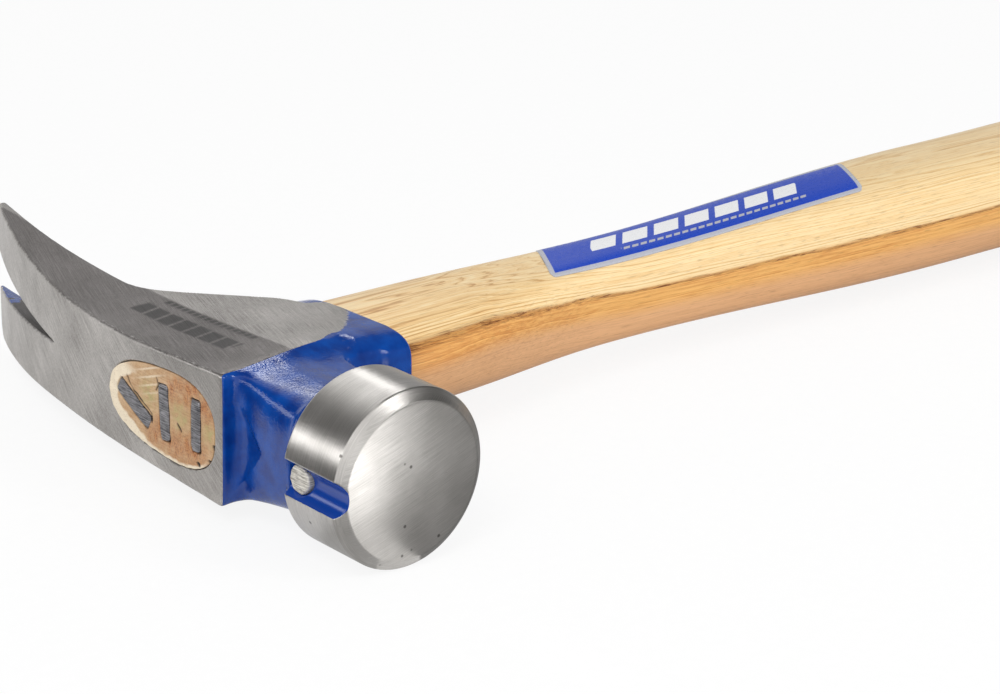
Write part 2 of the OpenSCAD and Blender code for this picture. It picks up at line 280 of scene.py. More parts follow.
def surface_net(field: Field, low: Array, high: Array, cell: float) -> tuple[Array, Array]:
    """Surface on which a field is zero, one vertex for each cell of a grid that the surface crosses.

    A vertex starts at the mean of the places where the cell's edges cross zero. Each grid edge
    that crosses zero gives one face through the four cells round it, facing the positive side.

    Args:
        field: The field, negative inside.
        low: Lowest corner of the grid in mm.
        high: Highest corner of the grid in mm.
        cell: Size of a cell in mm.

    Returns:
        Points in mm, and faces with four corners each.
    """
    axes = [np.arange(a, b + cell, cell) for a, b in zip(low, high)]
    value = field(axes[0][:, None, None], axes[1][None, :, None], axes[2][None, None, :])
    cells = np.array(value.shape) - 1
    stride = np.array([cells[1] * cells[2], cells[2], 1])
    sums = np.zeros((4, int(np.prod(cells))))
    quads = []
    for axis in range(3):
        side, third = (axis + 1) % 3, (axis + 2) % 3
        start = np.take(value, np.arange(value.shape[axis] - 1), axis)
        end = np.take(value, np.arange(1, value.shape[axis]), axis)
        flips = (start < 0) != (end < 0)
        edge = np.argwhere(flips)
        near, far = start[flips], end[flips]
        point = np.stack([axes[k][edge[:, k]] for k in range(3)])
        point[axis] += cell * near / (near - far)
        ring = []
        for step_side, step_third in ((1, 1), (0, 1), (0, 0), (1, 0)):
            place = edge.copy()
            place[:, side] -= step_side
            place[:, third] -= step_third
            number = place @ stride
            ring.append(number)
            for row, weight in enumerate((np.ones(len(number)), *point)):
                sums[row] += np.bincount(number, weight, sums.shape[1])
        quad = np.stack(ring, -1)
        quads.append(np.where((near < 0)[:, None], quad, quad[:, ::-1]))
    used = np.flatnonzero(sums[0])
    renamed = np.zeros(sums.shape[1], np.int64)
    renamed[used] = np.arange(len(used))
    return (sums[1:, used] / sums[0, used]).T, renamed[np.concatenate(quads)]


def slopes(field: Field, points: Array, step: float = 0.04) -> Array:
    """Gradient of a field at points, from values a small step to either side along each axis."""
    shifts = np.eye(3) * step
    return np.stack([(field(*(points + s).T) - field(*(points - s).T)) / (2 * step) for s in shifts], -1)


def settled(field: Field, points: Array, rounds: int = 4, reach: float = 0.3) -> tuple[Array, Array]:
    """Moves points onto the surface where a field is zero, along the field's slope.

    Args:
        field: The field.
        points: Points near the surface in mm.
        rounds: Number of steps.
        reach: Longest step in mm.

    Returns:
        The moved points, and the unit normals there.
    """
    for _ in range(rounds):
        slope = slopes(field, points)
        steep = np.maximum((slope**2).sum(-1), 0.04)
        points = points - slope * np.clip(field(*points.T) / steep, -reach, reach)[:, None]
    slope = slopes(field, points)
    return points, slope / np.maximum(np.linalg.norm(slope, axis=1, keepdims=True), 1e-9)


def add_object(name: str, data: bpy.types.ID) -> bpy.types.Object:
    """Adds an object to the scene.

    Args:
        name: Name of the object.
        data: Its mesh, lamp or camera.

    Returns:
        The object.
    """
    thing = bpy.data.objects.new(name, data)
    bpy.context.scene.collection.objects.link(thing)
    return thing


def add_piece(name: str, shell: Shell, finish: bpy.types.Material, node: str) -> bpy.types.Object:
    """Adds one piece of the hammer in place of a CAD node.

    Args:
        name: Name of the piece.
        shell: Its surface.
        finish: Its material.
        node: CAD node that it stands for.

    Returns:
        The object, which rides on the hammer's one body.
    """
    piece = add_object(name, shell.mesh(name))
    piece.data.materials.append(finish)
    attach(piece, BODY)
    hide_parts(node)
    return piece


class NodeTree:
    """A node tree while it is filled."""

    def __init__(self, tree: bpy.types.NodeTree) -> None:
        """Takes the tree as it is."""
        self.tree = tree

    def add(self, kind: str, *values: object, inputs: Mapping[int | str, object] | None = None,
            **settings: object) -> bpy.types.Node:
        """Adds a node.

        Args:
            kind: Type of the node without its prefix, such as "TexNoise".
            values: Values, or nodes and sockets to link, for its first inputs in order.
            inputs: The same for other inputs, by name or number.
            settings: Its properties; ramp is a list of positions and hex colours.

        Returns:
            The node.
        """
        node = self.tree.nodes.new("ShaderNode" + kind)
        stops = settings.pop("ramp", ())
        while stops and len(node.color_ramp.elements) < len(stops):
            node.color_ramp.elements.new(0.5)
        for number, (position, colour) in enumerate(stops):
            node.color_ramp.elements[number].position = position
            node.color_ramp.elements[number].color = linear(colour)
        for key, value in settings.items():
            setattr(node, key, value)
        self.feed(node, {**dict(enumerate(values)), **(inputs or {})})
        return node

    def feed(self, node: bpy.types.Node, inputs: Mapping[int | str, object]) -> None:
        """Sets or links a node's inputs.

        Args:
            node: The node.
            inputs: Values, or nodes and sockets to link, by the input's name or number.
        """
        for key, value in inputs.items():
            socket = node.inputs[key]
            if isinstance(value, bpy.types.Node):
                value = value.outputs[0]
            if isinstance(value, bpy.types.NodeSocket):
                self.tree.links.new(value, socket)
            else:
                socket.default_value = linear(value) if isinstance(value, str) else value


class Finish(NodeTree):
    """A material's node tree while it is filled, with one Principled shader."""

    def __init__(self, name: str) -> None:
        """Starts a material with nothing but its shader and its output.

        Args:
            name: Name of the material.
        """
        self.material = bpy.data.materials.new(name)
        self.material.use_nodes = True
        super().__init__(self.material.node_tree)
        self.shader = self.tree.nodes["Principled BSDF"]
        self.output = self.tree.nodes["Material Output"]

    def streaks(self, at: bpy.types.NodeSocket, scale: Place, detail: float,
                roughness: float = 0.5, turn: Place = (0, 0, 0)) -> bpy.types.Node:
        """Noise whose grains are drawn out, because each axis has its own scale.

        Args:
            at: Place that the noise reads.
            scale: Grains in one unit of the place, along each axis.
            detail: How many finer layers it has.
            roughness: How strong these are.
            turn: Turn of the grains about each axis, in radians.

        Returns:
            The noise.
        """
        mapped = self.add("Mapping", at, inputs={"Rotation": turn, "Scale": scale})
        return self.add("TexNoise", mapped, inputs={"Scale": 1.0, "Detail": detail, "Roughness": roughness})

    def done(self, relief: bpy.types.Node, inputs: Mapping[int | str, object]) -> bpy.types.Material:
        """Feeds the shader, with a bump.

        Args:
            relief: Height of the surface in metres.
            inputs: The shader's other inputs.

        Returns:
            The material.
        """
        bump = self.add("Bump", inputs={"Height": relief, "Distance": 1.0, "Strength": 1.0})
        self.feed(self.shader, {**inputs, "Normal": bump})
        return self.material


@dataclass(frozen=True)
class GroundSteelWithEnamel:
    """Forged tool steel, ground on its cheeks and top, with glossy blue enamel on the forged skin.

    The ground faces look dull grey with fine parallel grinding lines, bright where an edge was
    nicked, and darkened by painted shade on the cheeks above the ridge; the enamel is deep and
    wet, with a fine peel that breaks the lamps into sparks.
    """

    name: str = "ground_tool_steel_and_blue_enamel"
    steel_dark: str = "#6e6a66"
    steel_light: str = "#d4d0cc"
    # Painted shade: this colour darkens the cheeks above the ridge
    painted_cheek_shade: str = "#aeacad"
    bright: str = "#e6e4e0"
    stamp: str = "#2e2d2d"
    enamel_deep: str = "#032f7c"
    enamel: str = "#04469d"
    enamel_roughness: float = 0.1
    # In mm. Real grinding lines are finer than 0.14 mm, and would not show
    grit: float = 0.14
    peel: float = 0.42
    # Grains per metre: 2600 makes them 0.4 mm wide, 1400 0.7 mm, 260 4 mm and 60 17 mm
    speck_grains: float = 2600
    nick_grains: Place = (2600, 700, 2600)
    ragged_grains: float = 1400
    lump_grains: float = 260
    cloud_grains: float = 60
    # Heights in mm
    peel_height: float = 0.055
    lump_height: float = 0.1
    line_depth: float = 0.012

    def material(self) -> bpy.types.Material:
        """Builds the material from the attributes paint, grind, edge, zone and stamp, where zone marks
        painted shade on the cheeks.

        Returns:
            The material.
        """
        m = Finish(self.name)
        spot = m.add("TexCoord").outputs["Object"]
        grind = m.add("Attribute", attribute_name="grind").outputs["Vector"]
        paint, edge, zone, stamp = (m.add("Attribute", attribute_name=name).outputs["Fac"]
                                    for name in ("paint", "edge", "zone", "stamp"))
        # Ragged edge of the enamel
        ragged = m.add("TexNoise", spot, inputs={"Scale": self.ragged_grains, "Detail": 3})
        shifted = m.add("Math", ragged, 0.12, paint, operation="MULTIPLY_ADD")
        mask = m.add("MapRange", shifted, 0.04, 0.1, interpolation_type="SMOOTHSTEP")
        # Grinding lines, specks and soft clouds of the bare steel
        lines = m.streaks(grind, (0.09, 1 / self.grit, 1), 4, 0.75)
        speck = m.add("TexNoise", spot, inputs={"Scale": self.speck_grains, "Detail": 3, "Roughness": 0.7})
        cloud = m.add("TexNoise", spot, inputs={"Scale": self.cloud_grains, "Detail": 5, "Roughness": 0.6})
        specks = m.add("Math", speck, 0.3, operation="MULTIPLY")
        fine = m.add("Math", lines, 0.8, specks, operation="MULTIPLY_ADD")
        tone = m.add("Math", cloud, 0.35, fine, operation="MULTIPLY_ADD")
        steel = m.add("ValToRGB", tone, ramp=[(0.5, self.steel_dark), (0.94, self.steel_light)])
        # Painted shade: the cheeks are darkened in colour, fully above the ridge and a little below it
        cheek = m.add("Mix", inputs={0: zone, 6: steel, 7: self.painted_cheek_shade},
                      data_type="RGBA", blend_type="MULTIPLY").outputs[2]
        # Bright nicks along the edges
        nicks = m.streaks(spot, self.nick_grains, 4, 0.7)
        near_edge = m.add("MapRange", edge, 0.2, 0.5, interpolation_type="SMOOTHSTEP")
        nick = m.add("MapRange", nicks, 0.52, 0.62, interpolation_type="SMOOTHSTEP")
        worn = m.add("Math", near_edge, nick, operation="MULTIPLY")
        nicked = m.add("Mix", inputs={0: worn, 6: cheek, 7: self.bright}, data_type="RGBA").outputs[2]
        # Dark struck bars
        patchy = m.add("MapRange", speck, 0.3, 0.6, 0.55, 0.85)
        struck = m.add("Math", stamp, patchy, operation="MULTIPLY")
        stamped = m.add("Mix", inputs={0: struck, 6: nicked, 7: self.stamp}, data_type="RGBA").outputs[2]
        # Enamel with slow lumps and a fine peel
        lumps = m.add("TexNoise", spot, inputs={"Scale": self.lump_grains, "Detail": 2})
        orange = m.add("TexNoise", spot, inputs={"Scale": 1 / (self.peel * MM), "Detail": 2})
        blue = m.add("ValToRGB", lumps, ramp=[(0.3, self.enamel_deep), (0.7, self.enamel)])
        colour = m.add("Mix", inputs={0: mask, 6: stamped, 7: blue}, data_type="RGBA").outputs[2]
        metal = m.add("Math", 1.0, mask, operation="SUBTRACT")
        dull = m.add("MapRange", tone, 0.5, 0.95, 0.52, 0.36)
        keen = m.add("Math", worn, -0.15, dull, operation="MULTIPLY_ADD")
        rough = m.add("Mix", inputs={0: mask, 2: keen, 3: self.enamel_roughness}, data_type="FLOAT")
        peeled = m.add("Math", orange, self.peel_height * MM, operation="MULTIPLY")
        blobs = m.add("Math", lumps, self.lump_height * MM, peeled, operation="MULTIPLY_ADD")
        score = m.add("Math", fine, self.line_depth * MM, operation="MULTIPLY")
        relief = m.add("Mix", inputs={0: mask, 2: score, 3: blobs}, data_type="FLOAT")
        return m.done(relief, {"Base Color": colour, "Metallic": metal, "Roughness": rough})


@dataclass(frozen=True)
class TurnedSteel:
    """Hardened steel of the poll, ground round its side and straight across its face.

    Light smears across the grinding marks into soft bands; the face shows a few dark pits, and
    the nail groove is enamelled.
    """

    name: str = "turned_tool_steel"
    dark: str = "#a19e9a"
    light: str = "#cbc8c4"
    pit: str = "#4b4845"
    enamel: str = "#053a92"
    smear: float = 0.5
    # Lines per mm along and across the marks, drawn coarser than the real ones, which would not show
    line_grains: Place = (0.12, 5.5, 1)
    # Grains per metre: pits lie about 5 mm apart, and clouds are 9 mm wide
    pit_grains: float = 210
    cloud_grains: float = 110
    ragged_grains: float = 1200
    line_depth: float = 0.012

    def material(self) -> bpy.types.Material:
        """Builds the material from the attributes grind, marks and paint.

        Returns:
            The material.
        """
        m = Finish(self.name)
        spot = m.add("TexCoord").outputs["Object"]
        grind = m.add("Attribute", attribute_name="grind").outputs["Vector"]
        marks = m.add("Attribute", attribute_name="marks").outputs["Vector"]
        paint = m.add("Attribute", attribute_name="paint").outputs["Fac"]
        ragged = m.add("TexNoise", spot, inputs={"Scale": self.ragged_grains, "Detail": 3})
        shifted = m.add("Math", ragged, 0.3, paint, operation="MULTIPLY_ADD")
        mask = m.add("MapRange", shifted, 0.2, 0.28, interpolation_type="SMOOTHSTEP")
        # Grinding marks and soft clouds
        lines = m.streaks(grind, self.line_grains, 5, 0.7)
        cloud = m.add("TexNoise", spot, inputs={"Scale": self.cloud_grains, "Detail": 5})
        clouds = m.add("Math", cloud, 0.4, operation="MULTIPLY")
        tone = m.add("Math", lines, 0.6, clouds, operation="MULTIPLY_ADD")
        steel = m.add("ValToRGB", tone, ramp=[(0.35, self.dark), (0.65, self.light)])
        # Dark pits, then the enamel in the groove
        dots = m.add("TexVoronoi", spot, inputs={"Scale": self.pit_grains})
        pits = m.add("MapRange", dots.outputs["Distance"], 0.05, 0.09, 0.8, 0.0)
        pitted = m.add("Mix", inputs={0: pits, 6: steel, 7: self.pit}, data_type="RGBA").outputs[2]
        colour = m.add("Mix", inputs={0: mask, 6: pitted, 7: self.enamel}, data_type="RGBA").outputs[2]
        metal = m.add("Math", 1.0, mask, operation="SUBTRACT")
        dull = m.add("MapRange", lines, 0.3, 0.7, 0.37, 0.27)
        rough = m.add("Mix", inputs={0: mask, 2: dull, 3: 0.15}, data_type="FLOAT")
        relief = m.add("Math", lines, self.line_depth * MM, operation="MULTIPLY")
        return m.done(relief, {"Base Color": colour, "Metallic": metal, "Roughness": rough,
                               "Anisotropic": self.smear, "Tangent": marks})


@dataclass(frozen=True)
class VarnishedHickory:
    """Straight-grained hickory under clear varnish.

    Pale sapwood lies above a dark speckled growth line with an orange band of heartwood below
    it; short open pores and fine fibres run along the handle.
    """

    name: str = "varnished_hickory"
    pale: str = "#fae0af"
    cream: str = "#f3cf93"
    tan: str = "#dba662"
    late: str = "#ab773f"
    gold: str = "#efb868"
    orange: str = "#d28c42"
    line: str = "#74400f"
    low: str = "#e2ae7c"
    low_late: str = "#c69263"
    pore: str = "#8a5a2c"
    # Grains per mm along, across and through the wood: fibres are drawn 0.4 mm wide, because
    # real ones are too fine to show, and pores 5 mm long
    wander_grains: Place = (0.012, 0.3, 0.3)
    band_grains: Place = (0.02, 0.6, 0.6)
    fibre_grains: Place = (0.06, 2.4, 2.4)
    speck_grains: Place = (0.13, 2.2, 2.2)
    pore_grains: Place = (0.2, 4.2, 4.2)
    rings_per_mm: float = 3.0
    line_at: float = 3.5
    pore_depth: float = 0.03
    roughness: float = 0.45
    varnish: float = 0.3
    varnish_roughness: float = 0.2

    def material(self) -> bpy.types.Material:
        """Builds the material from the attributes ring and grain, in mm, and socket.

        Returns:
            The material.
        """
        m = Finish(self.name)
        grain = m.add("Attribute", attribute_name="grain").outputs["Vector"]
        ring, socket = (m.add("Attribute", attribute_name=name).outputs["Fac"] for name in ("ring", "socket"))
        # Growth rings that wander along the handle, fibres and slow bands
        stretch = m.streaks(grain, self.wander_grains, 3)
        wavy = m.add("Math", stretch, 2.0, ring, operation="MULTIPLY_ADD")
        rings = m.add("TexNoise", noise_dimensions="1D",
                      inputs={"W": wavy, "Scale": self.rings_per_mm, "Detail": 3, "Roughness": 0.7})
        fibre = m.streaks(grain, self.fibre_grains, 5, 0.7)
        band = m.streaks(grain, self.band_grains, 3)
        darker = m.add("Math", socket, 0.06, operation="MULTIPLY")
        banded = m.add("Math", band, 0.15, darker, operation="MULTIPLY_ADD")
        fibred = m.add("Math", fibre, 0.35, banded, operation="MULTIPLY_ADD")
        tone = m.add("Math", rings, 0.5, fibred, operation="MULTIPLY_ADD")
        # Sapwood with its late-wood lines, which are strongest near the socket
        ramp = [(0.43, self.pale), (0.56, self.cream), (0.68, self.tan), (0.84, self.late)]
        sap = m.add("ValToRGB", tone, ramp=ramp)
        late_wood = m.add("MapRange", rings, 0.52, 0.7, interpolation_type="SMOOTHSTEP")
        strength = m.add("Math", socket, 0.2, 0.16, operation="MULTIPLY_ADD")
        late_line = m.add("Math", late_wood, strength, operation="MULTIPLY")
        sap = m.add("Mix", inputs={0: late_line, 6: sap, 7: self.late}, data_type="RGBA").outputs[2]
        # Heartwood band and the low side, below a drifting border
        warm = [(0.44, self.gold), (0.6, self.orange), (0.8, self.late)]
        heart = m.add("ValToRGB", tone, ramp=warm)
        soft = m.add("ValToRGB", tone, ramp=[(0.44, self.low), (0.72, self.low_late)])
        shifted = m.add("Math", band, 1.2, ring, operation="MULTIPLY_ADD")
        drift = m.add("Math", fibre, 1.6, shifted, operation="MULTIPLY_ADD")
        in_heart = m.add("MapRange", drift, -3.2, 0.6, interpolation_type="SMOOTHSTEP")
        above = m.add("MapRange", drift, self.line_at - 0.1, self.line_at + 0.8,
                      interpolation_type="SMOOTHSTEP")
        lower = m.add("Mix", inputs={0: in_heart, 6: soft, 7: heart}, data_type="RGBA").outputs[2]
        wood = m.add("Mix", inputs={0: above, 6: lower, 7: sap}, data_type="RGBA").outputs[2]
        # Dark speckled line on that border
        off = m.add("Math", drift, self.line_at, operation="SUBTRACT")
        near = m.add("Math", off, operation="ABSOLUTE")
        reach = m.add("Math", socket, 1.1, 0.55, operation="MULTIPLY_ADD")
        on_line = m.add("MapRange", near, 0.1, reach, 1.0, 0.0, interpolation_type="SMOOTHSTEP")
        specks = m.streaks(grain, self.speck_grains, 5, 0.75)
        spotted = m.add("MapRange", specks, 0.46, 0.66, interpolation_type="SMOOTHSTEP")
        dark = m.add("Math", on_line, spotted, operation="MULTIPLY")
        shaded = m.add("Math", on_line, 0.3, dark, operation="MULTIPLY_ADD")
        lined = m.add("Mix", inputs={0: shaded, 6: wood, 7: self.line}, data_type="RGBA").outputs[2]
        # Open pores
        pores = m.streaks(grain, self.pore_grains, 2)
        open_pore = m.add("MapRange", pores, 0.58, 0.72, 0.0, 0.3)
        colour = m.add("Mix", inputs={0: open_pore, 6: lined, 7: self.pore}, data_type="RGBA").outputs[2]
        raised = m.add("Math", fibre, open_pore, operation="SUBTRACT")
        relief = m.add("Math", raised, self.pore_depth * MM, operation="MULTIPLY")
        return m.done(relief, {"Base Color": colour, "Roughness": self.roughness,
                               "Coat Weight": self.varnish, "Coat Roughness": self.varnish_roughness})


@dataclass(frozen=True)
class EndGrain:
    """Sawn and ground end of the tang: cream sapwood at the rim, orange-brown and olive patches.

    Cut pores make it speckled; the kerfs round the wedges and the cracks beside them are painted nearly
    black, as painted shade.
    """

    name: str = "hickory_end_grain"
    tan: str = "#cfae88"
    late: str = "#b58d64"
    cream: str = "#efe0c6"
    brown: str = "#bd8452"
    rust: str = "#8c5030"
    olive: str = "#b5a672"
    # Painted shade, nearly black, in the kerfs round the wedges and in the cracks
    painted_crack_shade: str = "#241a12"
    # Grains per metre: pores and specks are 0.4 mm wide, clouds 2.4 mm, and scores 0.3 mm
    cloud_grains: float = 420
    speck_grains: float = 2400
    pore_grains: float = 2300
    score_grains: Place = (1, 260, 3200)
    score_turn: float = 0.65
    roughness: float = 0.65

    def material(self) -> bpy.types.Material:
        """Builds the material from the attributes patch (cream, brown, olive), saw and gap, where gap carries
        painted shade.

        Returns:
            The material.
        """
        m = Finish(self.name)
        spot = m.add("TexCoord").outputs["Object"]
        gap, saw = (m.add("Attribute", attribute_name=name).outputs["Fac"] for name in ("gap", "saw"))
        patch = m.add("Attribute", attribute_name="patch").outputs["Vector"]
        cream, brown, olive = m.add("SeparateXYZ", patch).outputs
        cloud = m.add("TexNoise", spot, inputs={"Scale": self.cloud_grains, "Detail": 5, "Roughness": 0.65})
        lines = m.streaks(spot, self.score_grains, 4, turn=(self.score_turn, 0, 0))
        speck = m.add("TexNoise", spot, inputs={"Scale": self.speck_grains, "Detail": 3, "Roughness": 0.7})
        clouds = m.add("Math", cloud, 0.5, operation="MULTIPLY")
        tone = m.add("Math", lines, 0.5, clouds, operation="MULTIPLY_ADD")
        grained = m.add("MapRange", speck, 0.46, 0.6, interpolation_type="SMOOTHSTEP")
        pores = m.add("TexVoronoi", spot, inputs={"Scale": self.pore_grains})
        pore = m.add("MapRange", pores.outputs["Distance"], 0.1, 0.32, 0.4, 0.0)
        # Each layer covers those before it by its own mask
        rusty = m.add("Mix", inputs={0: grained, 6: self.brown, 7: self.rust}, data_type="RGBA").outputs[2]
        colour = m.add("ValToRGB", tone, ramp=[(0.4, self.tan), (0.62, self.late)]).outputs[0]
        # The last layer is painted shade: the kerfs and cracks go nearly black
        layers = ((cream, self.cream), (brown, rusty), (olive, self.olive), (saw, self.cream),
                  (pore, self.rust), (gap, self.painted_crack_shade))
        for mask, layer in layers:
            colour = m.add("Mix", inputs={0: mask, 6: colour, 7: layer}, data_type="RGBA").outputs[2]
        rough = m.add("Math", speck, 0.1 * MM, operation="MULTIPLY")
        relief = m.add("Math", cloud, 0.3 * MM, rough, operation="MULTIPLY_ADD")
        return m.done(relief, {"Base Color": colour, "Roughness": self.roughness})


@dataclass(frozen=True)
class GroundIron:
    """Small steel part ground flush with the head: dull grey, scored and slightly stained."""

    name: str
    dark: str
    light: str
    roughness: float = 0.5
    metallic: float = 1.0
    # Grains per metre: scores are 0.24 mm wide and clouds 1.4 mm
    score_grains: Place = (1, 260, 4200)
    cloud_grains: float = 700
    score_turn: float = 0.65

    def material(self) -> bpy.types.Material:
        """Builds the material on object coordinates.

        Returns:
            The material.
        """
        m = Finish(self.name)
        spot = m.add("TexCoord").outputs["Object"]
        lines = m.streaks(spot, self.score_grains, 4, turn=(self.score_turn, 0, 0))
        cloud = m.add("TexNoise", spot, inputs={"Scale": self.cloud_grains, "Detail": 4})
        clouds = m.add("Math", cloud, 0.35, operation="MULTIPLY")
        tone = m.add("Math", lines, clouds, operation="ADD")
        colour = m.add("ValToRGB", tone, ramp=[(0.52, self.dark), (0.84, self.light)])
        relief = m.add("Math", tone, 0.05 * MM, operation="MULTIPLY")
        return m.done(relief, {"Base Color": colour, "Metallic": self.metallic, "Roughness": self.roughness})


@dataclass(frozen=True)
class PrintedFoil:
    """Printed foil label: silver border round a blue field, with plain slanted bars and a thin rule."""

    name: str = "printed_foil_label"
    blue: str = "#1546c0"
    silver: str = "#b9bbc6"
    white: str = "#f4f5f7"
    border: float = 1.25
    bar_pitch: float = 4.9
    bar_slant: float = -0.35
    dash_pitch: float = 1.3
    # Middle and half size of the two rows, across and along the label
    bar_row: tuple[float, float] = (10.0, 2.9)
    bar_run: tuple[float, float] = (47.8, 33.8)
    dash_row: tuple[float, float] = (4.6, 0.55)
    dash_run: tuple[float, float] = (52.0, 30.0)

    def material(self) -> bpy.types.Material:
        """Builds the material on the attribute place: mm along, mm across, mm from the border.

        Returns:
            The material.
        """
        m = Finish(self.name)
        place = m.add("Attribute", attribute_name="place").outputs["Vector"]
        along, across, inside = m.add("SeparateXYZ", place).outputs
        field = m.add("MapRange", inside, self.border, self.border + 0.15, interpolation_type="SMOOTHSTEP")
        slanted = m.add("Math", across, self.bar_slant, along, operation="MULTIPLY_ADD")
        # Row of bars, then the dashed rule under it
        pitch = m.add("Math", slanted, self.bar_pitch, operation="PINGPONG")
        bar = m.add("MapRange", pitch, 0.95, 1.15)
        bars = self.product(m, bar, self.band(m, across, *self.bar_row), self.band(m, along, *self.bar_run))
        step = m.add("Math", slanted, self.dash_pitch, operation="PINGPONG")
        dash = m.add("MapRange", step, 0.3, 0.42)
        row, run = self.band(m, across, *self.dash_row), self.band(m, along, *self.dash_run)
        dashes = self.product(m, dash, row, run)
        colour = m.add("Mix", inputs={0: field, 6: self.silver, 7: self.blue}, data_type="RGBA").outputs[2]
        for mask, ink in ((dashes, self.silver), (bars, self.white)):
            colour = m.add("Mix", inputs={0: mask, 6: colour, 7: ink}, data_type="RGBA").outputs[2]
        wear = m.add("TexNoise", place, inputs={"Scale": 0.8, "Detail": 4})
        rough = m.add("MapRange", wear, 0.3, 0.7, 0.22, 0.4)
        relief = m.add("Math", wear, 0.02 * MM, operation="MULTIPLY")
        return m.done(relief, {"Base Color": colour, "Roughness": rough})

    def product(self, m: Finish, *masks: bpy.types.Node) -> bpy.types.Node:
        """Mask that is 1 where three masks all are."""
        bar, row, run = masks
        return m.add("Math", bar, m.add("Math", row, run, operation="MULTIPLY"), operation="MULTIPLY")

    def band(self, m: Finish, value: bpy.types.NodeSocket, middle: float, half: float) -> bpy.types.Node:
        """Mask that is 1 within half of middle, with an edge of a tenth of a mm."""
        away = m.add("Math", m.add("Math", value, middle, operation="SUBTRACT"), operation="ABSOLUTE")
        return m.add("MapRange", away, half - 0.05, half + 0.05, 1.0, 0.0)


